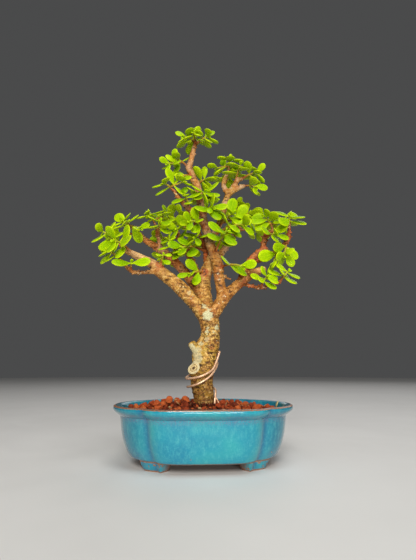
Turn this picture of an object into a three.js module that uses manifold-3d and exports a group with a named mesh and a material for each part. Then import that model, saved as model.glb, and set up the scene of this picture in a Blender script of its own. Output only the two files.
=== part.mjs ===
// A dwarf jade bonsai (Portulacaria afra) in its glazed, begonia-shaped pot.
// Millimetres, +Z up. The pot stands on Z = 0, its long side lies along X and its front faces -Y.
import * as THREE from "three";
import { mergeVertices } from "three/addons/utils/BufferGeometryUtils.js";
import Module from "manifold-3d";

const wasm = await Module();
wasm.setup();

// ---------------------------------------------------------------- driving dimensions

const GAP = 0.3; // clear space between two pieces that touch

const POT_HALF_LENGTH = 78; // at the rim
const POT_HALF_DEPTH = 60;
const POT_HEIGHT = 49;
const POT_GROOVE_TURN = 49.9; // degrees from the long axis to each corner groove, in the unit outline
const FOOT_HEIGHT = 7;
const FLOOR_THICKNESS = 6;
const DRAIN_HOLE_RADIUS = 7;
const DRAIN_HOLE_X = 30; // one hole each side of the middle

const SOIL_EDGE_HEIGHT = 42;
const SOIL_MOUND_HEIGHT = 49.5;
const GRAIN_COUNT = 64;
const GRAIN_SIZE = 9;

const TRUNK_SIDES = 12;
const WIRE_RADIUS = 1;

const LEAF_WIDTH_SHARE = 0.6; // of the leaf's length
const LEAF_THICKNESS = 2.2;
const SHOOT_RADIUS = 1.1;
const WOODY_SHARE = 0.3; // part of each side shoot that has turned to wood

// ---------------------------------------------------------------- finishes

function finish(color, roughness, metalness = 0) {
  return new THREE.MeshStandardMaterial({ color, roughness, metalness });
}

const finishes = {
  glaze: finish(0x1b8fa6, 0.15),
  soil: finish(0x9a4a2c, 0.9),
  bark: finish(0xa07a4c, 0.85),
  wire: finish(0xb9796a, 0.35, 0.9),
  leaf: finish(0x77b81f, 0.35),
  dryLeaf: finish(0xd9c27a, 0.7),
  screen: finish(0x2a2d2b, 0.6),
};

// ---------------------------------------------------------------- general shape helpers

const X_AXIS = new THREE.Vector3(1, 0, 0);
const Z_AXIS = new THREE.Vector3(0, 0, 1);

function vector(coordinates) {
  return new THREE.Vector3(...coordinates);
}

function lerp(from, to, share) {
  return from + (to - from) * share;
}

// Repeatable draws from 0 up to 1, the same on every run for one seed.
function seededDraw(seed) {
  let state = seed;
  return () => {
    state = (state * 9301 + 49297) % 233280;
    return state / 233280;
  };
}

function meshGeometry(points, triangles) {
  const geometry = new THREE.BufferGeometry();
  const flat = points.flatMap((point) => [point.x, point.y, point.z]);
  geometry.setAttribute("position", new THREE.Float32BufferAttribute(flat, 3));
  geometry.setIndex(triangles.flat());
  return geometry;
}

// Skins a row of rings, each with the same number of points, and closes both ends flat.
function loft(rings) {
  const size = rings[0].length;
  const points = rings.flat();
  const last = (rings.length - 1) * size;
  const triangles = [];
  for (let start = 0; start < last; start += size) {
    for (let i = 0; i < size; i += 1) {
      const a = start + i;
      const b = start + ((i + 1) % size);
      triangles.push([a, b, b + size], [a, b + size, a + size]);
    }
  }
  for (let i = 1; i < size - 1; i += 1) {
    triangles.push([i + 1, i, 0], [last, last + i, last + i + 1]);
  }
  return meshGeometry(points, triangles);
}

// The fixed direction that a limb's sides are measured from: level for an upright limb.
function referenceFor(along) {
  return Math.abs(along.z) > 0.9 ? X_AXIS : Z_AXIS;
}

function squaredTo(along, reference) {
  return reference.clone().addScaledVector(along, -reference.dot(along)).normalize();
}

// The corners of a limb's section, counted round from its side direction.
function ringAt(middle, along, side, radius, sides, firstCorner = 0) {
  const across = along.clone().cross(side);
  const ring = [];
  for (let k = 0; k < sides; k += 1) {
    const angle = firstCorner + (2 * Math.PI * k) / sides;
    const corner = middle.clone().addScaledVector(side, radius * Math.cos(angle));
    ring.push(corner.addScaledVector(across, radius * Math.sin(angle)));
  }
  return ring;
}

// A limb with flat sides through a row of points, with a radius at each point.
function limbGeometry(route, sides) {
  const points = route.map(([x, y, z]) => new THREE.Vector3(x, y, z));
  let side = referenceFor(points[1].clone().sub(points[0]).normalize());
  const rings = points.map((point, i) => {
    const before = points[Math.max(i - 1, 0)];
    const after = points[Math.min(i + 1, points.length - 1)];
    const along = after.clone().sub(before).normalize();
    side = squaredTo(along, side);
    return ringAt(point, along, side, route[i][3], sides);
  });
  return loft(rings);
}

function solidOf(geometry) {
  const bare = geometry.clone();
  bare.deleteAttribute("normal");
  bare.deleteAttribute("uv");
  const merged = mergeVertices(bare, 1e-4);
  return new wasm.Manifold(
    new wasm.Mesh({
      numProp: 3,
      vertProperties: new Float32Array(merged.attributes.position.array),
      triVerts: new Uint32Array(merged.index.array),
    }),
  );
}

function geometryOf(solid) {
  const mesh = solid.getMesh();
  const geometry = new THREE.BufferGeometry();
  geometry.setAttribute("position", new THREE.BufferAttribute(mesh.vertProperties, 3));
  geometry.setIndex(new THREE.BufferAttribute(mesh.triVerts, 1));
  return geometry;
}

function joined(solids) {
  return solids.reduce((whole, solid) => whole.add(solid));
}

// ---------------------------------------------------------------- pot

const FRONT_LOBE = { halfWidth: 0.691, power: 4.5 }; // the width is a share of the half length
const END_LOBE = { centre: 0.55, halfDepth: 0.776 }; // shares of the half length and the half depth
const LOBE_BLEND = 80; // the higher, the sharper the grooves

// The pot's outline for a half length and half depth of one: its distance from the pot's axis in
// one direction. A wide front and back lobe and two end lobes meet in upright grooves at the corners.
function lobedRadius(turn) {
  const cos = Math.abs(Math.cos(turn));
  const sin = Math.abs(Math.sin(turn));
  const { halfWidth, power } = FRONT_LOBE;
  const front = ((cos / halfWidth) ** power + sin ** power) ** (-1 / power);
  const endHalfLength = 1 - END_LOBE.centre;
  const a = (cos / endHalfLength) ** 2 + (sin / END_LOBE.halfDepth) ** 2;
  const b = (-2 * END_LOBE.centre * cos) / endHalfLength ** 2;
  const c = (END_LOBE.centre / endHalfLength) ** 2 - 1;
  const room = b * b - 4 * a * c;
  const end = room > 0 ? Math.max(0, (-b + Math.sqrt(room)) / (2 * a)) : 0;
  return (front ** LOBE_BLEND + end ** LOBE_BLEND) ** (1 / LOBE_BLEND);
}

function potPoint(turn, halfLength, halfDepth, z) {
  const radius = lobedRadius(turn);
  return new THREE.Vector3(halfLength * radius * Math.cos(turn), halfDepth * radius * Math.sin(turn), z);
}

// Directions round the pot in degrees: one exactly at each corner groove, and more near it.
function ringTurns() {
  const fromGroove = [-49.9, -37, -25, -15, -8, -3.5, 0, 3.5, 8, 15, 23, 31];
  const quarter = fromGroove.map((turn) => POT_GROOVE_TURN + turn);
  const half = [...quarter, 90, ...quarter.slice(1).map((turn) => 180 - turn).reverse()];
  return [...half, ...half.map((turn) => turn + 180)].map(THREE.MathUtils.degToRad);
}

const potTurns = ringTurns();

function potRing([halfLength, halfDepth, z]) {
  return potTurns.map((turn) => potPoint(turn, halfLength, halfDepth, z));
}

// Each row is half length, half depth and height.
const potOutside = [
  [59.5, 43, FOOT_HEIGHT],
  [63.5, 46.4, FOOT_HEIGHT + 2.2],
  [67, 49.6, 16],
  [70, 52.4, 26.5],
  [72, 54.2, 40.7],
  [74.6, 56.8, 42.5],
  [POT_HALF_LENGTH - 0.6, POT_HALF_DEPTH - 0.6, 45],
  [POT_HALF_LENGTH, POT_HALF_DEPTH, POT_HEIGHT - 1.8],
  [POT_HALF_LENGTH - 1.6, POT_HALF_DEPTH - 1.6, POT_HEIGHT],
];

const potInside = [
  [73.4, 55.4, POT_HEIGHT],
  [71.8, 53.8, POT_HEIGHT - 2],
  [61, 43.5, 16.5],
  [56, 38.5, FOOT_HEIGHT + FLOOR_THICKNESS],
];

const FOOT_TURN = 0.8; // from the long axis to a foot's middle
const FOOT_HALF_SWEEP = 0.21;
const FOOT_OUTSIDE = [61.5, 44.6]; // half length and half depth of the outline it follows
const FOOT_INSIDE = [46, 31];
const FOOT_SLOPE = 2.5; // how far its faces lean in on the way down

// A bracket foot under one corner groove, its ends and faces sloping in to the ground.
function footGeometry(middleTurn) {
  const sections = [];
  for (const [share, drop] of [[1, 0], [0.74, 1], [0, 1], [-0.74, 1], [-1, 0]]) {
    const turn = middleTurn + share * FOOT_HALF_SWEEP;
    const bottom = lerp(FOOT_HEIGHT, 0, drop);
    const inset = FOOT_SLOPE * drop;
    sections.push([
      potPoint(turn, FOOT_OUTSIDE[0], FOOT_OUTSIDE[1], FOOT_HEIGHT + 1),
      potPoint(turn, FOOT_INSIDE[0], FOOT_INSIDE[1], FOOT_HEIGHT + 1),
      potPoint(turn, FOOT_INSIDE[0] + inset, FOOT_INSIDE[1] + inset, bottom),
      potPoint(turn, FOOT_OUTSIDE[0] - inset, FOOT_OUTSIDE[1] - inset, bottom),
    ]);
  }
  return loft(sections);
}

const footTurns = [FOOT_TURN, Math.PI - FOOT_TURN, Math.PI + FOOT_TURN, -FOOT_TURN];

function drainCutter(x) {
  const cutter = new THREE.CylinderGeometry(DRAIN_HOLE_RADIUS, DRAIN_HOLE_RADIUS, 20, 16);
  cutter.rotateX(Math.PI / 2);
  cutter.translate(x, 0, FOOT_HEIGHT + FLOOR_THICKNESS / 2);
  return cutter;
}

function buildPot() {
  const rings = [...potOutside, ...potInside].map(potRing);
  let pot = solidOf(loft(rings));
  for (const turn of footTurns) {
    pot = pot.add(solidOf(footGeometry(turn)));
  }
  for (const x of [-DRAIN_HOLE_X, DRAIN_HOLE_X]) {
    pot = pot.subtract(solidOf(drainCutter(x)));
  }
  return pot;
}

// ---------------------------------------------------------------- drain screens

const SCREEN_SIZE = 24;
const SCREEN_THICKNESS = 1;
const SCREEN_HOLES = 2; // in each direction
const SCREEN_HOLE_SIZE = 8;

// A square of plastic mesh that lies on the pot's floor over a drain hole.
function buildScreen(x) {
  const z = FOOT_HEIGHT + FLOOR_THICKNESS + GAP + SCREEN_THICKNESS / 2;
  const plate = new THREE.BoxGeometry(SCREEN_SIZE, SCREEN_SIZE, SCREEN_THICKNESS);
  plate.translate(x, 0, z);
  let screen = solidOf(plate);
  const pitch = SCREEN_SIZE / (SCREEN_HOLES + 0.25);
  for (let row = 0; row < SCREEN_HOLES; row += 1) {
    for (let column = 0; column < SCREEN_HOLES; column += 1) {
      const hole = new THREE.BoxGeometry(SCREEN_HOLE_SIZE, SCREEN_HOLE_SIZE, 3 * SCREEN_THICKNESS);
      const middle = (SCREEN_HOLES - 1) / 2;
      hole.translate(x + (column - middle) * pitch, (row - middle) * pitch, z);
      screen = screen.subtract(solidOf(hole));
    }
  }
  return screen;
}

// ---------------------------------------------------------------- wood

// Each limb is a row of points: x, y, z and the radius there.
const limbs = {
  trunk: {
    sides: TRUNK_SIDES,
    route: [
      [3, 0, 30, 10.5],
      [2, 0, 42, 9.4],
      [1, 0, 49, 8.9],
      [0, 0, 57, 9.4],
      [-1.5, 0, 66, 9.8],
      [-1, 0, 74, 10.1],
      [1, 0, 81, 9],
      [3, 0, 90, 9.2],
      [4, 0, 98, 10],
      [6, 0, 107, 8.8],
      [6, 0, 117, 8.7],
      [4, 0, 127, 9.5],
      [4, 1, 135, 8],
    ],
  },
  cut_stump: { sides: 10, route: [[-3.8, 0, 73.2, 6.8], [-9.2, -8.4, 79.6, 6.1]] },
  callus: {
    sides: 8,
    route: [
      [-3, -2, 79, 6],
      [-5, -3.5, 86, 5.6],
      [-5, -3.5, 95, 5.2],
      [1, -1.5, 106, 4.5],
    ],
  },
  old_stub: { sides: 8, route: [[-1, -4, 86, 4.6], [-6, -5.5, 93.5, 4.2], [-10.6, -7, 100.6, 3.8]] },
  left_arm: {
    sides: 8,
    route: [
      [4, -1, 122, 7.5],
      [-6, -4, 135, 6.9],
      [-24, -8, 153, 6.5],
      [-36, -11, 162, 5.9],
      [-42, -12, 167, 6.1],
      [-49, -11, 173, 4.4],
      [-67, -11, 182, 3.1],
      [-74, -11, 185, 2.3],
    ],
  },
  knot_twig: {
    sides: 5,
    route: [
      [-41, -12, 165, 3.2],
      [-48, -14, 164, 2.2],
      [-63, -17, 163, 1.9],
      [-69, -18, 167, 1.7],
      [-73, -17, 173, 1.5],
    ],
  },
  rear_left: {
    sides: 7,
    route: [
      [0, 4, 146, 5.8],
      [-10, 9, 159, 5],
      [-20, 14, 173, 4.8],
      [-40, 20, 193, 4.1],
      [-56, 24, 204, 3.3],
      [-70, 25, 217, 2.1],
    ],
  },
  rear_left_riser: {
    sides: 5,
    route: [
      [-41, 20, 194, 2.6],
      [-44, 17, 205, 2.2],
      [-46, 16, 216, 1.8],
    ],
  },
  mid_leader: {
    sides: 8,
    route: [
      [3, 2, 127, 8.4],
      [1, 5, 143, 7.6],
      [0, 7, 155, 7.3],
      [1, 8, 165, 6.9],
      [5, 6, 174, 6],
      [8, 3, 183, 4.6],
    ],
  },
  inner_stem: {
    sides: 5,
    route: [
      [5, 7, 172, 3.6],
      [3, 9, 182, 3],
      [2, 12, 193, 2.8],
      [-1, 14, 203, 2.6],
      [-8, 18, 222, 2],
    ],
  },
  right_arm: {
    sides: 7,
    route: [
      [4, -1, 122, 7.5],
      [11, -5, 132, 6.4],
      [22, -11, 146, 5.3],
      [35, -15, 157, 4.4],
      [47, -18, 165, 3.5],
      [54, -19, 167, 2.5],
    ],
  },
  leader: {
    sides: 7,
    route: [
      [15, -7, 136, 5.2],
      [16, -8, 147, 5],
      [13, -9, 163, 4.9],
      [13, -8, 171, 5.5],
      [10, -4, 182, 4.9],
      [4, 3, 204, 4.5],
      [-2, 6, 230, 4.2],
      [-6, 5, 254, 3.9],
      [-11, 4, 264, 3.8],
      [-15, 2, 274, 3.8],
    ],
  },
  leader_top: {
    sides: 5,
    route: [
      [-15, 2, 273, 3.6],
      [-13, 1, 280, 3.1],
      [-11, 1, 290, 2.8],
      [-8, 1, 301, 2.1],
    ],
  },
  left_riser: {
    sides: 5,
    route: [
      [0, 4, 218, 3.4],
      [-6, -1, 221, 3.2],
      [-14, -4, 227, 3.1],
      [-25, -6, 240, 2.3],
      [-29, -6, 246, 1.7],
    ],
  },
  right_crown: {
    sides: 6,
    route: [
      [6, 3, 198, 3.8],
      [13, 8, 212, 3.6],
      [18, 12, 226, 3.4],
      [24, 13, 248, 3.3],
      [27, 12, 253, 3.7],
      [34, 9, 256, 2.9],
      [40, 7, 258, 2.2],
    ],
  },
  crown_fork_left: {
    sides: 5,
    route: [
      [25, 12, 252, 3.2],
      [21, 13, 259, 2.8],
      [21, 12, 265, 2.4],
      [25, 10, 274, 1.8],
    ],
  },
  crown_fork_mid: { sides: 5, route: [[27, 12, 253, 3.2], [34, 8, 264, 2.7], [38, 6, 265, 2.2]] },
  right_bough: {
    sides: 6,
    route: [
      [33, -14, 156, 4.2],
      [37, -13, 167, 4],
      [46, -13, 180, 3.8],
      [57, -14, 187, 3.1],
    ],
  },
  bough_stub: { sides: 5, route: [[42, -13, 174, 2.2], [53, -16, 176, 1.8]] },
  bough_up: {
    sides: 5,
    route: [
      [53, -13, 184, 3.1],
      [57, -14, 200, 2.6],
      [61, -14, 204, 2.1],
      [65, -14, 204, 1.7],
    ],
  },
  bough_out: {
    sides: 5,
    route: [
      [55, -13, 185, 2.9],
      [62, -16, 182, 2.5],
      [73, -19, 191, 2.3],
      [77, -20, 197, 2],
      [77, -22, 211, 1.4],
    ],
  },
  low_twig: {
    sides: 5,
    route: [
      [34, -15, 156, 2.4],
      [38, -19, 152, 1.8],
      [51, -24, 149, 1.5],
      [57, -26, 152, 1.5],
      [66, -27, 153, 1.2],
    ],
  },
  dead_twig: { sides: 4, route: [[14, -9, 163, 1.6], [24, -12, 158.5, 1]] },
  back_left: {
    sides: 6,
    route: [
      [0, 7, 150, 4.8],
      [-6, 20, 172, 4],
      [-22, 42, 212, 2.6],
      [-30, 50, 230, 1.9],
    ],
  },
  back_right: {
    sides: 6,
    route: [
      [4, 7, 168, 4.8],
      [16, 20, 188, 4],
      [38, 40, 222, 2.6],
      [46, 46, 238, 1.9],
    ],
  },
};

// ---------------------------------------------------------------- leafy sprays

// Each spray grows from a point inside a limb towards one or two tips, and bears opposite
// pairs of leaves, each pair turned a quarter round the shoot from the pair below it.
// Columns: name, foot of the shoot, leaf length, turn of the first pair in degrees,
// then for each tip its place and its number of leaf pairs.
const sprays = [
  ["apex_left", [-8, 1, 300], 14, 20, [[-19, -3, 304], 3], [[-7, 10, 306], 2]],
  ["apex_right", [-8, 1, 299], 13, 70, [[4, -5, 304], 3]],
  ["apex_front", [-8, 1, 298], 13, 40, [[-11, -13, 303], 3]],
  ["shoulder", [-15, 2, 274], 13, 10, [[-29, 4, 284], 3], [[-35, -5, 274], 3]],
  ["shoulder_low", [-12, 3, 266], 12, 40, [[-24, -7, 258], 2]],
  ["leader_left", [-29, -6, 245], 15, 0, [[-38, -10, 251], 2], [[-20, -13, 252], 2]],
  ["leader_left_low", [-13, -4, 226], 13, 30, [[-19, -16, 238], 3]],
  ["leader_rear", [-7, 5, 256], 14, 0, [[4, 20, 270], 4]],
  ["leader_front", [-4, 6, 240], 16, 60, [[0, -12, 242], 3]],
  ["leader_low", [-1, 6, 227], 16, 20, [[7, -16, 226], 4]],
  ["crown_top", [25, 10, 273], 15, 0, [[27, 9, 288], 3], [[14, 16, 281], 2]],
  ["crown_mid", [32, 9, 261], 17, 80, [[36, 0, 277], 3]],
  ["crown_right", [38, 6, 265], 13, 30, [[54, 3, 271], 3]],
  ["crown_low", [40, 7, 258], 14, 60, [[51, 4, 256], 2]],
  ["crown_rear", [21, 13, 260], 14, 10, [[31, 31, 280], 4]],
  ["left_mid", [-46, 16, 215], 13, 0, [[-54, 12, 230], 4], [[-35, 22, 232], 3]],
  ["left_mid_front", [-44, 17, 206], 14, 50, [[-42, 1, 217], 3]],
  ["far_left_top", [-70, 25, 216], 16, 30, [[-79, 17, 222], 4], [[-62, 10, 213], 2]],
  ["far_left_rear", [-63, 24, 210], 15, 0, [[-90, 37, 212], 4]],
  ["far_left_outer", [-73, -11, 185], 14, 15, [[-94, -12, 202], 4]],
  ["far_left_front", [-66, -11, 182], 18, 0, [[-79, -29, 188], 3]],
  ["knot_twig_tip", [-73, -17, 172], 15, 45, [[-86, -22, 181], 3]],
  ["knot_leaf", [-66, -18, 165], 18, 100, [[-64, -27, 169], 1]],
  ["knot_bud", [-40, -15, 169], 9, 20, [[-37, -22, 178], 2]],
  ["inner_left", [-23, 15, 177], 15, 60, [[-33, 4, 200], 3]],
  ["inner_left_up", [-5, 16, 214], 15, 0, [[-26, 8, 212], 3]],
  ["inner_left_low", [1, 12, 192], 17, 30, [[-21, -4, 190], 3]],
  ["centre_front", [2, 4, 212], 14, 0, [[-13, -16, 212], 3]],
  ["centre_low", [-1, 14, 203], 13, 70, [[-8, -8, 200], 2]],
  ["centre_right_top", [13, 8, 212], 16, 0, [[27, -10, 222], 4]],
  ["centre_right", [10, 4, 205], 16, 40, [[36, -21, 208], 3]],
  ["centre_right_low", [10, -4, 184], 16, 20, [[19, -26, 200], 4]],
  ["centre_right_outer", [16, 10, 219], 15, 0, [[46, 0, 220], 3]],
  ["bough_top", [65, -14, 204], 16, 10, [[58, -11, 219], 4], [[78, 2, 219], 3]],
  ["bough_inner", [57, -14, 198], 15, 60, [[64, -26, 198], 3]],
  ["tip_right", [77, -22, 207], 15, 60, [[76.5, -28, 214], 3]],
  ["tip_right_hang", [75, -20, 194], 14, 30, [[71, -27, 178], 3]],
  ["bough_hang", [69, -18, 187], 16, 20, [[62, -22, 173], 2]],
  ["low_tip", [65, -27, 153], 13, 0, [[72, -31, 162], 3]],
  ["low_mid", [49, -23, 149], 12, 30, [[53, -34, 157], 3]],
  ["arm_green", [13, -9, 170], 17, 60, [[32, -28, 167], 2]],
  ["front_small", [3, 6, 168], 13, 0, [[-13, -8, 164], 2]],
  ["back_left_tip", [-30, 50, 229], 15, 0, [[-38, 60, 242], 4], [[-20, 58, 246], 3]],
  ["back_left_out", [-22, 42, 212], 15, 30, [[-48, 52, 214], 3]],
  ["back_left_in", [-14, 31, 192], 15, 60, [[-12, 48, 206], 3]],
  ["back_right_tip", [46, 46, 237], 15, 0, [[54, 56, 249], 4], [[36, 56, 254], 3]],
  ["back_right_out", [38, 40, 222], 15, 45, [[66, 46, 222], 4]],
  ["back_right_in", [27, 30, 205], 15, 10, [[20, 48, 216], 3]],
  ["leader_back", [-3, 6, 236], 15, 0, [[2, 30, 250], 3]],
  ["rear_low_left", [-30, 17, 183], 15, 30, [[-38, 40, 190], 3]],
];

const SHOOT_RISE = 0.06; // how far a shoot arches up, as a share of its length
const FORK_SHARE = 0.2; // where along the first shoot a second one branches off

// Where a spray's shoot turns from wood to green.
function shootStart(foot, tip) {
  const start = foot.clone().lerp(tip, WOODY_SHARE);
  return start.addScaledVector(Z_AXIS, SHOOT_RISE * foot.distanceTo(tip));
}

// A shoot leaves its start along the line from its foot and bends to its tip.
function shootCurve(foot, start, tip) {
  const along = start.clone().sub(foot).normalize();
  const middle = start.clone().addScaledVector(along, 0.5 * start.distanceTo(tip));
  return new THREE.QuadraticBezierCurve3(start, middle, tip);
}

function shootCurves([, foot, , , ...tips]) {
  const root = vector(foot);
  const ends = tips.map(([tip]) => vector(tip));
  const first = shootCurve(root, shootStart(root, ends[0]), ends[0]);
  const fork = first.getPoint(FORK_SHARE);
  const others = ends.slice(1).map((tip) => shootCurve(fork.clone().lerp(tip, -0.1), fork, tip));
  return [first, ...others];
}

// The woody foot of a spray, cut square where the green shoot carries on from it.
function twigRoute([, foot, , , [tip]]) {
  const root = vector(foot);
  const start = shootStart(root, vector(tip));
  return [
    [...foot, 1.6 * SHOOT_RADIUS],
    [...start.toArray(), 1.15 * SHOOT_RADIUS],
  ];
}

function buildWood() {
  const limbSolids = Object.values(limbs).map(({ route, sides }) => solidOf(limbGeometry(route, sides)));
  const twigSolids = sprays.map((spray) => solidOf(limbGeometry(twigRoute(spray), 4)));
  return joined([...limbSolids, ...twigSolids]);
}

// Half of a leaf's outline from foot to tip: shares of its length, and half widths as shares of its width.
const LEAF_OUTLINE = [[0.36, 0.38], [0.73, 0.5], [0.97, 0.22]];
const LEAF_CENTRE = 0.6; // where it is thickest, as a share of its length
const NECK_HEIGHT = 1.3; // how far the leaf's foot runs up the shoot
const SHOOT_FLAT = Math.SQRT1_2; // from the shoot's middle to its flat side, as a share of its radius

// The free points of a leaf in its own frame: down one edge, back up the other, then top and underside.
function leafPoints(length, extra = 0) {
  const half = LEAF_OUTLINE.map(([along, out]) => [
    along * (length + extra),
    out * LEAF_WIDTH_SHARE * length + extra,
  ]);
  const edge = [...half.map(([along, out]) => [along, -out]), ...half.reverse()];
  const points = edge.map(([along, out]) => new THREE.Vector3(along, out, 0));
  points.push(new THREE.Vector3(LEAF_CENTRE * length, 0, 0.42 * LEAF_THICKNESS + extra));
  points.push(new THREE.Vector3(LEAF_CENTRE * length, 0, -0.58 * LEAF_THICKNESS - extra));
  return points;
}

// The triangles of a leaf that grows from a neck of four corners, named by their place in the
// list of points: lower and upper corner on its one side, then on its other.
function leafTriangles([lowLeft, highLeft, lowRight, highRight], first) {
  const edge = LEAF_OUTLINE.length * 2;
  const top = first + edge;
  const under = top + 1;
  const rim = Array.from({ length: edge }, (_, i) => first + i);
  const upper = [highLeft, ...rim, highRight];
  const lower = [lowLeft, ...rim, lowRight];
  const triangles = [[lowLeft, first, highLeft], [lowRight, highRight, first + edge - 1]];
  for (let i = 0; i < upper.length; i += 1) {
    const next = (i + 1) % upper.length;
    triangles.push([top, upper[i], upper[next]], [under, lower[next], lower[i]]);
  }
  return triangles;
}

// Ways to ease a leaf past a neighbour: turn round the shoot, opening in degrees and size.
const EASINGS = [
  [0, 0, 1],
  [18, 0, 1],
  [-18, 0, 1],
  [0, 15, 1],
  [0, -15, 1],
  [34, 8, 0.9],
  [-34, 8, 0.9],
  [22, -18, 0.8],
  [-22, -18, 0.8],
  [0, 25, 0.75],
  [42, 0, 0.65],
  [-42, 0, 0.65],
];

const OPENING_AT_FOOT = 72; // degrees between a level shoot and its lowest leaves
const OPENING_AT_TIP = 58;
const OPENING_RISE = 24; // how much more the leaves of an upright shoot open, and a hanging one's close
const LEAF_LEVELLING = 0.55; // how much of a leaf's rise or fall it keeps as it spreads out level
const LEAF_DROOP = 0.12; // how far a leaf sinks, as a share of its length
const LIGHT_UPWARD = 0.6; // against the outward pull at the crown's edge
const LIGHT_REACH = [110, 46]; // distances sideways and forwards at which that pull is one
const LIGHT_LINE = 22; // leaves in front of this distance behind the trunk face forwards
const LIGHT_LEVEL = [225, 280]; // between these heights the leaves come to face straight up
const MOST_TWIST = 65; // degrees that a leaf can turn on its neck
const LOWEST_PAIR = 0.3; // shares of the shoot's length
const HIGHEST_PAIR = 0.93;

function openingAt(share, along) {
  return lerp(OPENING_AT_FOOT, OPENING_AT_TIP, share) + OPENING_RISE * along.z;
}

// Where each leaf of a shoot sits before easing.
function leafSeats(curve, pairs, leafLength, firstTurn, draw) {
  const seats = [];
  for (let pair = 0; pair < pairs; pair += 1) {
    const share = pairs > 1 ? lerp(LOWEST_PAIR, HIGHEST_PAIR, pair / (pairs - 1)) : HIGHEST_PAIR;
    const size = leafLength * (pair === pairs - 1 ? 0.85 : 1);
    for (const opposite of [0, 2]) {
      seats.push({
        pair,
        share,
        face: (pair + opposite + 3) % 4,
        middle: curve.getPoint(share),
        along: curve.getTangent(share),
        faceTurn: firstTurn + 90 * (pair + opposite),
        wander: 24 * (draw() - 0.5),
        opening: openingAt(share, curve.getTangent(share)) + 20 * (draw() - 0.5),
        length: size * (0.88 + 0.24 * draw()),
      });
    }
  }
  return seats;
}

// Turns a leaf's face part of the way towards the light: up, and outwards from the trunk.
function turnedToLight(face, direction, middle) {
  const high = THREE.MathUtils.smoothstep(middle.z, ...LIGHT_LEVEL);
  const light = new THREE.Vector3(middle.x / LIGHT_REACH[0], (middle.y - LIGHT_LINE) / LIGHT_REACH[1], 0);
  light.multiplyScalar(1 - high).addScaledVector(Z_AXIS, lerp(LIGHT_UPWARD, 1, high));
  const wanted = squaredTo(direction, light);
  const across = direction.clone().cross(face);
  const turn = Math.atan2(wanted.dot(across), wanted.dot(face));
  const most = THREE.MathUtils.degToRad(MOST_TWIST);
  return face.clone().applyAxisAngle(direction, THREE.MathUtils.clamp(0.85 * turn, -most, most));
}

// The leaf's frame: X along it, Z out of its upper face.
function leafMatrix({ middle, along, faceTurn, wander, opening }, reference, [turnBy, openBy]) {
  const level = squaredTo(along, reference);
  const flat = level.clone().applyAxisAngle(along, THREE.MathUtils.degToRad(faceTurn));
  const side = level.clone().applyAxisAngle(along, THREE.MathUtils.degToRad(faceTurn + wander + turnBy));
  const spread = THREE.MathUtils.degToRad(opening + openBy);
  const direction = along.clone().multiplyScalar(Math.cos(spread)).addScaledVector(side, Math.sin(spread));
  direction.z = LEAF_LEVELLING * direction.z - LEAF_DROOP;
  direction.normalize();
  const inner = squaredTo(direction, along);
  const face = turnedToLight(inner, direction, middle);
  const across = face.clone().cross(direction);
  const root = middle.clone().addScaledVector(flat, SHOOT_FLAT * SHOOT_RADIUS);
  return new THREE.Matrix4().makeBasis(direction, across, face).setPosition(root);
}

// Everything already in place that a new leaf has to keep clear of.
const standing = [];

function addStanding(solid, shoot) {
  const { min, max } = solid.boundingBox();
  standing.push({ solid, shoot, min, max });
}

function clearOfOthers(solid, shoot) {
  const { min, max } = solid.boundingBox();
  const meets = (other) => [0, 1, 2].every((k) => other.min[k] < max[k] && other.max[k] > min[k]);
  const near = standing.filter((other) => other.shoot !== shoot && meets(other));
  return near.every((other) => solid.intersect(other.solid).isEmpty());
}

// A leaf by itself, closed across its neck.
function looseLeaf(neck, points) {
  const closing = [[0, 1, 3], [0, 3, 2]];
  return solidOf(meshGeometry([...neck, ...points], [...leafTriangles([0, 1, 2, 3], 4), ...closing]));
}

// The first way of setting the leaf that is clear of all that stands, or nothing.
function placedLeaf(seat, reference, neck, shoot) {
  for (const easing of EASINGS) {
    const matrix = leafMatrix(seat, reference, easing);
    const length = seat.length * easing[2];
    const guarded = leafPoints(length, GAP).map((point) => point.applyMatrix4(matrix));
    if (clearOfOthers(looseLeaf(neck, guarded), shoot)) {
      const points = leafPoints(length).map((point) => point.applyMatrix4(matrix));
      addStanding(looseLeaf(neck, points), null);
      return points;
    }
  }
  return null;
}

// The sections of a green shoot, square and turned so that its flat sides face its leaves:
// one at its foot, two at each pair of leaves and one below its bud.
function shootRings(curve, { foot, firstTurn, radius, seats }) {
  const reference = referenceFor(curve.getTangent(0));
  const half = NECK_HEIGHT / 2 / curve.getLength();
  const shares = [foot];
  for (const { share } of seats.filter((seat, i) => i % 2 === 0)) {
    shares.push(share - half, share + half);
  }
  const firstCorner = THREE.MathUtils.degToRad(firstTurn + 45);
  return shares.map((share) => {
    const along = curve.getTangent(Math.min(share, 1));
    const middle = curve.getPoint(Math.min(share, 1));
    return ringAt(middle, along, squaredTo(along, reference), radius, 4, firstCorner);
  });
}

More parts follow.
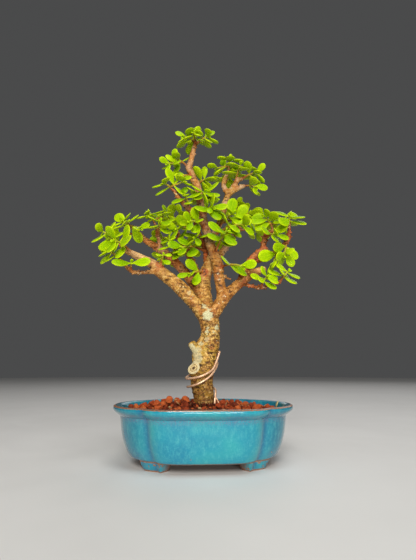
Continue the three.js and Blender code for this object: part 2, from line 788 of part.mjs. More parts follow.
// A green shoot and its leaves in one skin: a leaf's neck takes the place of a patch of the shoot's side.
function grownShoot(curve, rings, seats, name) {
  const reference = referenceFor(curve.getTangent(0));
  const points = rings.flat();
  const triangles = [[2, 1, 0], [3, 2, 0]];
  for (let ring = 0; ring < rings.length - 1; ring += 1) {
    for (let k = 0; k < 4; k += 1) {
      const a = 4 * ring + k;
      const b = 4 * ring + ((k + 1) % 4);
      const seat = seats.find(({ pair, face }) => ring === 2 * pair + 1 && face === k);
      const neck = [a, a + 4, b, b + 4];
      const leaf = seat && placedLeaf(seat, reference, neck.map((i) => points[i]), name);
      if (leaf) {
        triangles.push(...leafTriangles(neck, points.length));
        points.push(...leaf);
      } else {
        triangles.push([a, b, b + 4], [a, b + 4, a + 4]);
      }
    }
  }
  const bud = points.length;
  const last = 4 * (rings.length - 1);
  points.push(curve.getPoint(1).addScaledVector(curve.getTangent(1), 1.5 * SHOOT_RADIUS));
  for (let k = 0; k < 4; k += 1) {
    triangles.push([last + k, last + ((k + 1) % 4), bud]);
  }
  return solidOf(meshGeometry(points, triangles));
}

// Each shoot of a spray as its curve, its leaves' seats and its bare sections.
function plannedShoots(spray, index) {
  const [name, , leafLength, firstTurn, ...tips] = spray;
  const draw = seededDraw(index + 1);
  return shootCurves(spray).map((curve, fork) => {
    const seats = leafSeats(curve, tips[fork][1], leafLength, firstTurn, draw);
    const foot = fork ? 0 : GAP / curve.getLength();
    const radius = fork ? 0.9 * SHOOT_RADIUS : SHOOT_RADIUS;
    const rings = shootRings(curve, { foot, firstTurn, radius, seats });
    return { name: `${name} ${fork}`, curve, seats, rings };
  });
}

// ---------------------------------------------------------------- soil

const GOLDEN_ANGLE = Math.PI * (3 - Math.sqrt(5)); // spreads the grains evenly

// The soil's height at a share of the way from the pot's axis to its edge.
function soilHeight(share) {
  return lerp(SOIL_MOUND_HEIGHT, SOIL_EDGE_HEIGHT, Math.min(share, 1) ** 1.5);
}

// The pot's inner half length and half depth at a height, drawn in by the gap.
function insideAt(z) {
  const [, upper, lower] = potInside;
  const share = (z - lower[2]) / (upper[2] - lower[2]);
  return [lerp(lower[0], upper[0], share) - 3 * GAP, lerp(lower[1], upper[1], share) - 3 * GAP, z];
}

const soilEdge = insideAt(SOIL_EDGE_HEIGHT);

// The space that the soil may fill: the inside of the pot, and upright above its rim.
function soilEnvelope() {
  const [floorLength, floorDepth, floorZ] = potInside[3];
  const rings = [
    [floorLength - 2, floorDepth - 2, floorZ + GAP],
    insideAt(potInside[2][2] + 1),
    insideAt(potInside[1][2]),
    [...insideAt(potInside[1][2]).slice(0, 2), POT_HEIGHT + 20],
  ];
  return solidOf(loft(rings.map(potRing)));
}

// Every other point of a pot ring, which is enough for the soil.
function soilRing(size) {
  return potRing(size).filter((point, i) => i % 2 === 0);
}

function soilBody() {
  const [floorLength, floorDepth, floorZ] = potInside[3];
  const rings = [
    soilRing([floorLength - 2, floorDepth - 2, floorZ + GAP]),
    soilRing(insideAt(potInside[2][2] + 1)),
    soilRing(soilEdge),
  ];
  for (const share of [0.6, 0.25]) {
    rings.push(soilRing([share * soilEdge[0], share * soilEdge[1], soilHeight(share)]));
  }
  return solidOf(loft(rings));
}

// Angular chips of fired clay, pressed into the surface.
function grainSolids() {
  const draw = seededDraw(77);
  const grains = [];
  for (let i = 0; i < GRAIN_COUNT; i += 1) {
    const share = Math.sqrt((i + 0.5) / GRAIN_COUNT) * 0.95;
    const size = GRAIN_SIZE * (0.75 + 0.5 * draw());
    const grain = new THREE.OctahedronGeometry(size / 2);
    grain.scale(1, 0.7 + 0.3 * draw(), 0.6 + 0.3 * draw());
    grain.rotateX(Math.PI * draw());
    grain.rotateY(Math.PI * draw());
    grain.rotateZ(Math.PI * draw());
    const height = soilHeight(share) + 0.1 * size;
    const place = potPoint(i * GOLDEN_ANGLE, share * soilEdge[0], share * soilEdge[1], height);
    grain.translate(place.x, place.y, place.z);
    grains.push(solidOf(grain));
  }
  return grains;
}

function grownRoute(route, extra) {
  return route.map(([x, y, z, radius]) => [x, y, z, radius + extra]);
}

function buildSoil() {
  const below = grownRoute(limbs.trunk.route.slice(0, 5), 1.6 * GAP);
  below[0][2] -= GAP;
  let soil = soilBody().add(joined(grainSolids()).intersect(soilEnvelope()));
  soil = soil.subtract(solidOf(limbGeometry(below, TRUNK_SIDES)));
  soil = soil.subtract(wireHoles());
  for (const x of [-DRAIN_HOLE_X, DRAIN_HOLE_X]) {
    soil = soil.subtract(solidOf(screenRecess(x)));
  }
  return largestBody(soil);
}

function screenRecess(x) {
  const size = SCREEN_SIZE + 2 * GAP;
  const recess = new THREE.BoxGeometry(size, size, 2 * (SCREEN_THICKNESS + GAP));
  recess.translate(x, 0, FOOT_HEIGHT + FLOOR_THICKNESS + GAP);
  return recess;
}

function largestBody(solid) {
  const bodies = solid.decompose();
  return bodies.reduce((best, body) => (body.volume() > best.volume() ? body : best));
}

// ---------------------------------------------------------------- training wire

// The wire's turns round the trunk: direction in degrees round it (0 is +X, 270 the front), height
// and slack off the bark.
const wireTurns = [
  [325, 44, 0],
  [325, 50, 0],
  [340, 57, 0],
  [365, 61, 0],
  [405, 62.5, 0],
  [450, 63, 0],
  [500, 63.3, 0.5],
  [540, 63.3, 2],
  [580, 64.2, 2],
  [619, 67, 0.6],
  [662, 72.5, 0],
  [695, 79, 0],
  [715, 84, 0],
  [755, 85, 0],
  [800, 81, 0],
  [845, 75.5, 0.8],
  [885, 71.6, 2.8],
  [930, 70.6, 3],
  [975, 72.2, 1.4],
  [1005, 75, 0.4],
  [1032, 78.5, 0],
  [1049, 85, 0],
  [1066, 94, 0],
];

function trunkAt(z) {
  const { route } = limbs.trunk;
  const upper = route.findIndex((point) => point[2] > z);
  const [low, high] = [route[upper - 1], route[upper]];
  const share = (z - low[2]) / (high[2] - low[2]);
  return low.map((value, k) => lerp(value, high[k], share));
}

function wirePoint([degrees, z, slack]) {
  const [x, y, , radius] = trunkAt(z);
  const angle = THREE.MathUtils.degToRad(degrees);
  const out = radius + 2 * GAP + WIRE_RADIUS + slack;
  return new THREE.Vector3(x + out * Math.cos(angle), y + out * Math.sin(angle), z);
}

function circleShape(radius, sides) {
  const shape = new THREE.Shape();
  for (let i = 0; i < sides; i += 1) {
    const angle = (2 * Math.PI * i) / sides;
    shape[i ? "lineTo" : "moveTo"](radius * Math.cos(angle), radius * Math.sin(angle));
  }
  return shape;
}

// A thinner strand leaves the wire above the soil and stands in it a little farther out.
const thinStrand = [
  [10.2, -4.6, 55, 0.6],
  [12.4, -6.6, 51, 0.6],
  [14.3, -8.2, 45, 0.6],
];

function buildWire() {
  const path = new THREE.CatmullRomCurve3(wireTurns.map(wirePoint));
  const wire = new THREE.ExtrudeGeometry(circleShape(WIRE_RADIUS, 5), { steps: 48, extrudePath: path });
  return solidOf(wire).add(solidOf(limbGeometry(thinStrand, 5)));
}

// The holes that the wire's two strands stand in, open at the soil's surface.
function wireHoles() {
  const thick = wireTurns.slice(0, 3).map((turn) => [...wirePoint(turn).toArray(), WIRE_RADIUS]);
  const thin = [...thinStrand].reverse();
  const holes = [thick, thin].map((strand) => {
    const route = grownRoute(strand, 2 * GAP);
    route[0][2] -= 2 * GAP;
    return solidOf(limbGeometry(route, 6));
  });
  return joined(holes);
}

// ---------------------------------------------------------------- fallen leaf

const FALLEN_LEAF = { root: [66.5, 12, 42.3], tip: [69.7, 13, 50.3] };

// A dried leaf stands on the soil and leans against the pot's inner wall.
function buildFallenLeaf() {
  const root = vector(FALLEN_LEAF.root);
  const direction = vector(FALLEN_LEAF.tip).sub(root);
  const length = direction.length();
  direction.normalize();
  const face = squaredTo(direction, X_AXIS.clone().negate());
  const across = face.clone().cross(direction);
  const matrix = new THREE.Matrix4().makeBasis(direction, across, face).setPosition(root);
  const neck = [[0, -0.6, -0.4], [0, -0.6, 0.4], [0, 0.6, -0.4], [0, 0.6, 0.4]].map(vector);
  const points = [...neck, ...leafPoints(length)].map((point) => point.applyMatrix4(matrix));
  return looseLeaf(points.slice(0, 4), points.slice(4));
}

// ---------------------------------------------------------------- assembly

const bonsai = new THREE.Group();

function addPiece(name, geometry, material) {
  const piece = new THREE.Mesh(geometry, material);
  piece.name = name;
  bonsai.add(piece);
}

const pot = buildPot();
const wood = buildWood();
const soil = buildSoil();
addPiece("pot", geometryOf(pot), finishes.glaze);
addPiece("soil", geometryOf(soil), finishes.soil);
addPiece("wood", geometryOf(wood), finishes.bark);
addPiece("training_wire", geometryOf(buildWire()), finishes.wire);
addPiece("fallen_leaf", geometryOf(buildFallenLeaf()), finishes.dryLeaf);
addPiece("drain_screen_left", geometryOf(buildScreen(-DRAIN_HOLE_X)), finishes.screen);
addPiece("drain_screen_right", geometryOf(buildScreen(DRAIN_HOLE_X)), finishes.screen);

// The wood and every bare shoot stand before any leaf is set.
addStanding(wood, "wood");
const plans = sprays.map(plannedShoots);
plans.flat().forEach(({ name, curve, rings }) => addStanding(grownShoot(curve, rings, [], name), name));
sprays.forEach((spray, index) => {
  const shoots = plans[index].map(({ curve, rings, seats, name }) => grownShoot(curve, rings, seats, name));
  addPiece(`spray_${spray[0]}`, geometryOf(joined(shoots)), finishes.leaf);
});

// The origin is under the middle of the whole piece, on the ground.
const bounds = new THREE.Box3().setFromObject(bonsai);
const centre = bounds.getCenter(new THREE.Vector3());
bonsai.position.set(-centre.x, -centre.y, 0);

export default bonsai;
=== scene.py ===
"""Looks of a dwarf jade bonsai in its glazed pot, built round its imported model."""

import itertools
import math
import random

import bmesh
import bpy
import numpy as np
from mathutils import Matrix, Vector, noise
from mathutils.kdtree import KDTree


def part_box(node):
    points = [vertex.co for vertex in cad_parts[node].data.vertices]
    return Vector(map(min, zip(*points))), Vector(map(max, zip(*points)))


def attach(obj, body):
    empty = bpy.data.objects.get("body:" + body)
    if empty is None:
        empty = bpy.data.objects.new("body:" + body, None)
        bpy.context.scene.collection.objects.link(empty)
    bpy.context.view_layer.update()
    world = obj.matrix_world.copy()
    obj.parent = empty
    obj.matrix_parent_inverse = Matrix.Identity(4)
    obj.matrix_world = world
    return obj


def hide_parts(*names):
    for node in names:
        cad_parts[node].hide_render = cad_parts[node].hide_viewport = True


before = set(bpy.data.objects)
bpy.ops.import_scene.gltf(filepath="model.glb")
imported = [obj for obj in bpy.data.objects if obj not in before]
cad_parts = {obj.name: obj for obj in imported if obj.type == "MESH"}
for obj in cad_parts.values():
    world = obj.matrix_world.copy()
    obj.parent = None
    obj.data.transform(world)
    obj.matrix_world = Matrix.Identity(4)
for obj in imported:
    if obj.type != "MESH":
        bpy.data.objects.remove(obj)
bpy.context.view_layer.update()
MM = 0.001

# The tables and the pot's rows are in millimetres from the pot's axis on the ground.
pot_low, pot_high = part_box("pot")
POT = Vector(((pot_low.x + pot_high.x) / 2, (pot_low.y + pot_high.y) / 2, 0))

# Each limb: its number of sides in the source, how red-brown its bark is, then x, y, z and radius at
# each point.
LIMBS = {
    "trunk": (12, 0, [(3, 0, 30, 10.5), (2, 0, 42, 9.4), (1, 0, 49, 8.9), (0, 0, 57, 9.4),
        (-1.5, 0, 66, 9.8), (-1, 0, 74, 10.1), (1, 0, 81, 9), (3, 0, 90, 9.2), (4, 0, 98, 10),
        (6, 0, 107, 8.8), (6, 0, 117, 8.7), (4, 0, 127, 9.5), (4, 1, 135, 8)]),
    "cut_stump": (10, 0, [(-3.8, 0, 73.2, 6.8), (-9.2, -8.4, 79.6, 6.1)]),
    "callus": (8, 0, [(-3, -2, 79, 6), (-5, -3.5, 86, 5.6), (-5, -3.5, 95, 5.2), (1, -1.5, 106, 4.5)]),
    "old_stub": (8, 0.05, [(-1, -4, 86, 4.6), (-6, -5.5, 93.5, 4.2), (-10.6, -7, 100.6, 3.8)]),
    "left_arm": (8, 0.15, [(4, -1, 122, 7.5), (-6, -4, 135, 6.9), (-24, -8, 153, 6.5),
        (-36, -11, 162, 5.9), (-42, -12, 167, 6.1), (-49, -11, 173, 4.4), (-67, -11, 182, 3.1),
        (-74, -11, 185, 2.3)]),
    "knot_twig": (5, 0.5, [(-41, -12, 165, 3.2), (-48, -14, 164, 2.2), (-63, -17, 163, 1.9),
        (-69, -18, 167, 1.7), (-73, -17, 173, 1.5)]),
    "rear_left": (7, 0.6, [(0, 4, 146, 5.8), (-10, 9, 159, 5), (-20, 14, 173, 4.8),
        (-40, 20, 193, 4.1), (-56, 24, 204, 3.3), (-70, 25, 217, 2.1)]),
    "rear_left_riser": (5, 0.6, [(-41, 20, 194, 2.6), (-44, 17, 205, 2.2), (-46, 16, 216, 1.8)]),
    "mid_leader": (8, 0.15, [(3, 2, 127, 8.4), (1, 5, 143, 7.6), (0, 7, 155, 7.3), (1, 8, 165, 6.9),
        (5, 6, 174, 6), (8, 3, 183, 4.6)]),
    "inner_stem": (5, 0.9, [(5, 7, 172, 3.6), (3, 9, 182, 3), (2, 12, 193, 2.8), (-1, 14, 203, 2.6),
        (-8, 18, 222, 2)]),
    "right_arm": (7, 0.5, [(4, -1, 122, 7.5), (11, -5, 132, 6.4), (22, -11, 146, 5.3),
        (35, -15, 157, 4.4), (47, -18, 165, 3.5), (54, -19, 167, 2.5)]),
    "leader": (7, 0.5, [(15, -7, 136, 5.2), (16, -8, 147, 5), (13, -9, 163, 4.9), (13, -8, 171, 5.5),
        (10, -4, 182, 4.9), (4, 3, 204, 4.5), (-2, 6, 230, 4.2), (-6, 5, 254, 3.9),
        (-11, 4, 264, 3.8), (-15, 2, 274, 3.8)]),
    "leader_top": (5, 0.55, [(-15, 2, 273, 3.6), (-13, 1, 280, 3.1), (-11, 1, 290, 2.8),
        (-8, 1, 301, 2.1)]),
    "left_riser": (5, 0.6, [(0, 4, 218, 3.4), (-6, -1, 221, 3.2), (-14, -4, 227, 3.1),
        (-25, -6, 240, 2.3), (-29, -6, 246, 1.7)]),
    "right_crown": (6, 0.25, [(6, 3, 198, 3.8), (13, 8, 212, 3.6), (18, 12, 226, 3.4),
        (24, 13, 248, 3.3), (27, 12, 253, 3.7), (34, 9, 256, 2.9), (40, 7, 258, 2.2)]),
    "crown_fork_left": (5, 0.3, [(25, 12, 252, 3.2), (21, 13, 259, 2.8), (21, 12, 265, 2.4),
        (25, 10, 274, 1.8)]),
    "crown_fork_mid": (5, 0.35, [(27, 12, 253, 3.2), (34, 8, 264, 2.7), (38, 6, 265, 2.2)]),
    "right_bough": (6, 0.85, [(33, -14, 156, 4.2), (37, -13, 167, 4), (46, -13, 180, 3.8),
        (57, -14, 187, 3.1)]),
    "bough_stub": (5, 0.9, [(42, -13, 174, 2.2), (53, -16, 176, 1.8)]),
    "bough_up": (5, 0.9, [(53, -13, 184, 3.1), (57, -14, 200, 2.6), (61, -14, 204, 2.1),
        (65, -14, 204, 1.7)]),
    "bough_out": (5, 0.95, [(55, -13, 185, 2.9), (62, -16, 182, 2.5), (73, -19, 191, 2.3),
        (77, -20, 197, 2), (77, -22, 211, 1.4)]),
    "low_twig": (5, 0.85, [(34, -15, 156, 2.4), (38, -19, 152, 1.8), (51, -24, 149, 1.5),
        (57, -26, 152, 1.5), (66, -27, 153, 1.2)]),
    "dead_twig": (4, 0.5, [(14, -9, 163, 1.6), (24, -12, 158.5, 1)]),
    "back_left": (6, 0.5, [(0, 7, 150, 4.8), (-6, 20, 172, 4), (-22, 42, 212, 2.6),
        (-30, 50, 230, 1.9)]),
    "back_right": (6, 0.5, [(4, 7, 168, 4.8), (16, 20, 188, 4), (38, 40, 222, 2.6),
        (46, 46, 238, 1.9)]),
}

# Each leafy spray: the foot of its shoot, its leaf length, then each tip with its number of leaf pairs.
SPRAYS = {
    "apex_left": ((-8, 1, 300), 14, [((-19, -3, 304), 3), ((-7, 10, 306), 2)]),
    "apex_right": ((-8, 1, 299), 13, [((4, -5, 304), 3)]),
    "apex_front": ((-8, 1, 298), 13, [((-11, -13, 303), 3)]),
    "shoulder": ((-15, 2, 274), 13, [((-29, 4, 284), 3), ((-35, -5, 274), 3)]),
    "shoulder_low": ((-12, 3, 266), 12, [((-24, -7, 258), 2)]),
    "leader_left": ((-29, -6, 245), 15, [((-38, -10, 251), 2), ((-20, -13, 252), 2)]),
    "leader_left_low": ((-13, -4, 226), 13, [((-19, -16, 238), 3)]),
    "leader_rear": ((-7, 5, 256), 14, [((4, 20, 270), 4)]),
    "leader_front": ((-4, 6, 240), 16, [((0, -12, 242), 3)]),
    "leader_low": ((-1, 6, 227), 16, [((7, -16, 226), 4)]),
    "crown_top": ((25, 10, 273), 15, [((27, 9, 288), 3), ((14, 16, 281), 2)]),
    "crown_mid": ((32, 9, 261), 17, [((36, 0, 277), 3)]),
    "crown_right": ((38, 6, 265), 13, [((54, 3, 271), 3)]),
    "crown_low": ((40, 7, 258), 14, [((51, 4, 256), 2)]),
    "crown_rear": ((21, 13, 260), 14, [((31, 31, 280), 4)]),
    "left_mid": ((-46, 16, 215), 13, [((-54, 12, 230), 4), ((-35, 22, 232), 3)]),
    "left_mid_front": ((-44, 17, 206), 14, [((-42, 1, 217), 3)]),
    "far_left_top": ((-70, 25, 216), 16, [((-79, 17, 222), 4), ((-62, 10, 213), 2)]),
    "far_left_rear": ((-63, 24, 210), 15, [((-90, 37, 212), 4)]),
    "far_left_outer": ((-73, -11, 185), 14, [((-94, -12, 202), 4)]),
    "far_left_front": ((-66, -11, 182), 18, [((-79, -29, 188), 3)]),
    "knot_twig_tip": ((-73, -17, 172), 15, [((-86, -22, 181), 3)]),
    "knot_leaf": ((-66, -18, 165), 18, [((-64, -27, 169), 1)]),
    "knot_bud": ((-40, -15, 169), 9, [((-37, -22, 178), 2)]),
    "inner_left": ((-23, 15, 177), 15, [((-33, 4, 200), 3)]),
    "inner_left_up": ((-5, 16, 214), 15, [((-26, 8, 212), 3)]),
    "inner_left_low": ((1, 12, 192), 17, [((-21, -4, 190), 3)]),
    "centre_front": ((2, 4, 212), 14, [((-13, -16, 212), 3)]),
    "centre_low": ((-1, 14, 203), 13, [((-8, -8, 200), 2)]),
    "centre_right_top": ((13, 8, 212), 16, [((27, -10, 222), 4)]),
    "centre_right": ((10, 4, 205), 16, [((36, -21, 208), 3)]),
    "centre_right_low": ((10, -4, 184), 16, [((19, -26, 200), 4)]),
    "centre_right_outer": ((16, 10, 219), 15, [((46, 0, 220), 3)]),
    "bough_top": ((65, -14, 204), 16, [((58, -11, 219), 4), ((78, 2, 219), 3)]),
    "bough_inner": ((57, -14, 198), 15, [((64, -26, 198), 3)]),
    "tip_right": ((77, -22, 207), 15, [((76.5, -28, 214), 3)]),
    "tip_right_hang": ((75, -20, 194), 14, [((71, -27, 178), 3)]),
    "bough_hang": ((69, -18, 187), 16, [((62, -22, 173), 2)]),
    "low_tip": ((65, -27, 153), 13, [((72, -31, 162), 3)]),
    "low_mid": ((49, -23, 149), 12, [((53, -34, 157), 3)]),
    "arm_green": ((13, -9, 170), 17, [((32, -28, 167), 2)]),
    "front_small": ((3, 6, 168), 13, [((-13, -8, 164), 2)]),
    "back_left_tip": ((-30, 50, 229), 15, [((-38, 60, 242), 4), ((-20, 58, 246), 3)]),
    "back_left_out": ((-22, 42, 212), 15, [((-48, 52, 214), 3)]),
    "back_left_in": ((-14, 31, 192), 15, [((-12, 48, 206), 3)]),
    "back_right_tip": ((46, 46, 237), 15, [((54, 56, 249), 4), ((36, 56, 254), 3)]),
    "back_right_out": ((38, 40, 222), 15, [((66, 46, 222), 4)]),
    "back_right_in": ((27, 30, 205), 15, [((20, 48, 216), 3)]),
    "leader_back": ((-3, 6, 236), 15, [((2, 30, 250), 3)]),
    "rear_low_left": ((-30, 17, 183), 15, [((-38, 40, 190), 3)]),
}

# The training wire: direction round the trunk in degrees, height, and slack off the bark.
WIRE_TURNS = [
    (325, 44, 0), (325, 50, 0), (340, 57, 0), (365, 61, 0), (405, 62.5, 0), (450, 63, 0),
    (500, 63.3, 0.5), (540, 63.3, 2), (580, 64.2, 2), (619, 67, 0.6), (662, 72.5, 0),
    (695, 79, 0), (715, 84, 0), (755, 85, 0), (800, 81, 0), (845, 75.5, 0.8), (885, 71.6, 2.8),
    (930, 70.6, 3), (975, 72.2, 1.4), (1005, 75, 0.4), (1032, 78.5, 0), (1049, 85, 0),
    (1066, 94, 0),
]
THIN_STRAND = [(10.2, -4.6, 55, 0.6), (12.4, -6.6, 51, 0.6), (14.3, -8.2, 45, 0.6)]

GAP = 0.3  # what the source leaves between its solids
FOOT_HEIGHT = 7
SOIL_EDGE_HEIGHT = 42
SOIL_MOUND_HEIGHT = 49.5
GRAIN_SIZE = 9
WIRE_RADIUS = 1
LEAF_WIDTH_SHARE = 0.6
LEAF_FULLNESS = 1.06  # how much longer the leaves are than the solid ones
WOODY_SHARE = 0.3  # of the way to a spray's first tip

# ---------------- camera

# The camera as fitted to the pot's rim, base and feet in the photograph.
IMAGE_HEIGHT = 560
FOCAL_PIXELS = 425
CAMERA_PLACE = (-20.3, -388.5, 81.3)
PITCH = math.radians(11.45)
YAW = math.radians(3.58)
SENSOR = 36


def build_camera():
    data = bpy.data.cameras.new("camera")
    data.sensor_fit = "VERTICAL"
    data.sensor_width = data.sensor_height = SENSOR
    data.lens = SENSOR * FOCAL_PIXELS / IMAGE_HEIGHT
    data.clip_start = 0.01
    camera = bpy.data.objects.new("camera", data)
    camera.location = POT + Vector(CAMERA_PLACE) * MM
    looking = Vector((math.sin(YAW) * math.cos(PITCH), math.cos(YAW) * math.cos(PITCH), math.sin(PITCH)))
    camera.rotation_euler = looking.to_track_quat("-Z", "Y").to_euler()
    bpy.context.scene.collection.objects.link(camera)
    bpy.context.scene.camera = camera
    bpy.context.scene.view_settings.view_transform = "Standard"


build_camera()

# ---------------- shader graphs


class Field:
    """An output of a shader graph, which goes into sums like a number."""

    def __init__(self, graph, socket):
        self.graph = graph
        self.socket = socket

    def apply(self, operation, other=0.0):
        return self.graph.new("ShaderNodeMath", {0: self, 1: other}, operation=operation)

    def __add__(self, other):
        return self.apply("ADD", other)

    def __sub__(self, other):
        return self.apply("SUBTRACT", other)

    def __mul__(self, other):
        return self.apply("MULTIPLY", other)

    def __abs__(self):
        return self.apply("ABSOLUTE")

    def larger(self, other):
        return self.apply("MAXIMUM", other)

    def step(self, low, high, start=0.0, end=1.0):
        """Goes smoothly from start to end while the field goes from low to high."""
        inputs = {"Value": self, "From Min": low, "From Max": high, "To Min": start, "To Max": end}
        return self.graph.new("ShaderNodeMapRange", inputs, interpolation_type="SMOOTHSTEP")

    def ramp(self, *stops):
        """A colour that passes through stops of value and colour."""
        color = self.graph.new("ShaderNodeValToRGB", {0: self})
        elements = color.socket.node.color_ramp.elements
        while len(elements) < len(stops):
            elements.new(0.5)
        for element, (value, stop) in zip(elements, stops):
            element.position = value
            element.color = (*stop, 1)
        return color


class Graph:
    """A Principled material whose textures are measured in millimetres."""

    def __init__(self, name):
        self.material = bpy.data.materials.new(name)
        self.material.use_nodes = True
        self.tree = self.material.node_tree
        self.shader = self.tree.nodes["Principled BSDF"]
        coords = self.new("ShaderNodeTexCoord", {}, "Object")
        self.place = self.scaled(coords, (1 / MM, 1 / MM, 1 / MM))
        self.z = self.new("ShaderNodeSeparateXYZ", {0: self.place}, "Z")
        self.color = None

    def new(self, kind, inputs, output=0, **settings):
        """Adds a node and gives one of its outputs."""
        node = self.tree.nodes.new(kind)
        for key, value in settings.items():
            setattr(node, key, value)
        for key, value in inputs.items():
            socket = node.inputs[key]
            if isinstance(value, Field):
                self.tree.links.new(value.socket, socket)
            elif socket.type == "RGBA":
                socket.default_value = (*value, 1)
            else:
                socket.default_value = value
        return Field(self, node.outputs[output])

    def scaled(self, vector, by):
        return self.new("ShaderNodeVectorMath", {0: vector, 1: by}, operation="MULTIPLY")

    def noise(self, size, detail=3, roughness=0.55, stretch=None, warp=0.0, output=0):
        """Noise from 0 to 1 with features about size millimetres across."""
        place = self.scaled(self.place, stretch) if stretch else self.place
        inputs = {"Vector": place, "Scale": 1 / size, "Detail": detail, "Roughness": roughness,
                  "Distortion": warp}
        return self.new("ShaderNodeTexNoise", inputs, output)

    def cells(self, size, feature="F1", place=None):
        """How far each place is from the middle or the edge of its cell, in cells."""
        inputs = {"Vector": place or self.place, "Scale": 1 / size}
        return self.new("ShaderNodeTexVoronoi", inputs, "Distance", feature=feature)

    def given(self, name):
        """A number that the mesh has for each vertex."""
        return self.new("ShaderNodeAttribute", {}, "Fac", attribute_name=name)

    def mix(self, share, a, b):
        return self.new("ShaderNodeMix", {0: share, 6: a, 7: b}, 2, data_type="RGBA")

    def lay(self, share, color):
        """Lays a share of a colour over the colour so far."""
        self.color = self.mix(share, self.color, color)

    def bump(self, height, strength, depth, under=None):
        inputs = {"Height": height, "Strength": strength, "Distance": depth * MM}
        if under:
            inputs["Normal"] = under
        return self.new("ShaderNodeBump", inputs)

    def finish(self, roughness, normal=None, **fixed):
        for name, field in (("Base Color", self.color), ("Roughness", roughness), ("Normal", normal)):
            if field:
                self.tree.links.new(field.socket, self.shader.inputs[name])
        for name, value in fixed.items():
            self.shader.inputs[name.replace("_", " ")].default_value = value
        return self.material


def glaze_material():
    g = Graph("turquoise_glaze")
    ends = g.given("ends")
    g.color = g.noise(30, 2, 0.5, warp=0.15).ramp(
        (0.32, (0.008, 0.19, 0.29)), (0.5, (0.012, 0.235, 0.315)), (0.68, (0.02, 0.28, 0.315)))
    # bluer glaze towards the ends, with painted shade on the end lobes that turn from the light; darker blue
    # in the grooves, and paler streaks that run down
    g.lay(ends * 0.75, (0.004, 0.145, 0.225))
    streaks = g.noise(2.6, 4, 0.7, stretch=(1, 1, 0.35)).step(0.46, 0.7, 0, 0.4)
    g.lay(streaks, (0.07, 0.38, 0.385))
    g.lay(g.given("in_groove") * 0.75, (0.004, 0.1, 0.22))
    # fine crackle and pinholes all over
    crackle = g.cells(1 / 1.3, "DISTANCE_TO_EDGE").step(0.11, 0.02) * g.noise(2.4).step(0.46, 0.6)
    g.lay(crackle * 0.3, (0.1, 0.4, 0.42))
    g.lay(g.cells(1.1).step(0.2, 0.1, 0, 0.5), (0.004, 0.12, 0.2))
    # purple-grey speckle under the lip and low on the ends
    under_lip = g.z.step(35.5, 40.5) * g.z.step(44.6, 43)
    low_ends = g.z.step(20, 9) * ends
    specks = g.noise(0.8, 2, 0.6).step(0.44, 0.58)
    g.lay(under_lip.larger(low_ends * 0.8) * specks * 0.75, (0.11, 0.13, 0.21))
    # the glaze breaks to brown clay on the rim, the base line, the soles and in chips low down
    wobble = (g.noise(2.2, 4, 0.65) - 0.5) * 1.6
    rim = (g.z + wobble * 0.6).step(47.9, 48.3) * g.given("brink").step(0.1, 0.9, 0.12, 1)
    base = abs(g.z + wobble - 7.4).step(1, 0.35) * 0.9
    sole = (g.z + wobble).step(1.6, 0.7)
    chips = g.noise(4.2, 2).step(0.6, 0.64) * g.z.step(8.6, 6.2)
    flecks = g.noise(5, 2).step(0.69, 0.72) * g.z.step(17, 11)
    bare = rim.larger(base).larger(sole).larger(chips).larger(flecks) * (g.given("inside") * -0.6 + 1)
    g.lay(bare * 0.95, g.noise(1.1).ramp((0.3, (0.12, 0.04, 0.015)), (0.7, (0.4, 0.16, 0.06))))
    g.lay(g.z.step(7.2, 6.9) * g.given("underside"), (0.2, 0.09, 0.05))
    normal = g.bump(g.noise(1.1), 0.16, 0.15, g.bump(g.noise(10, 2), 0.4, 0.7))
    roughness = bare.step(0.2, 0.9, 0.08, 0.5)
    return g.finish(roughness, normal, Coat_Weight=0.3, Coat_Roughness=0.03, IOR=1.45)


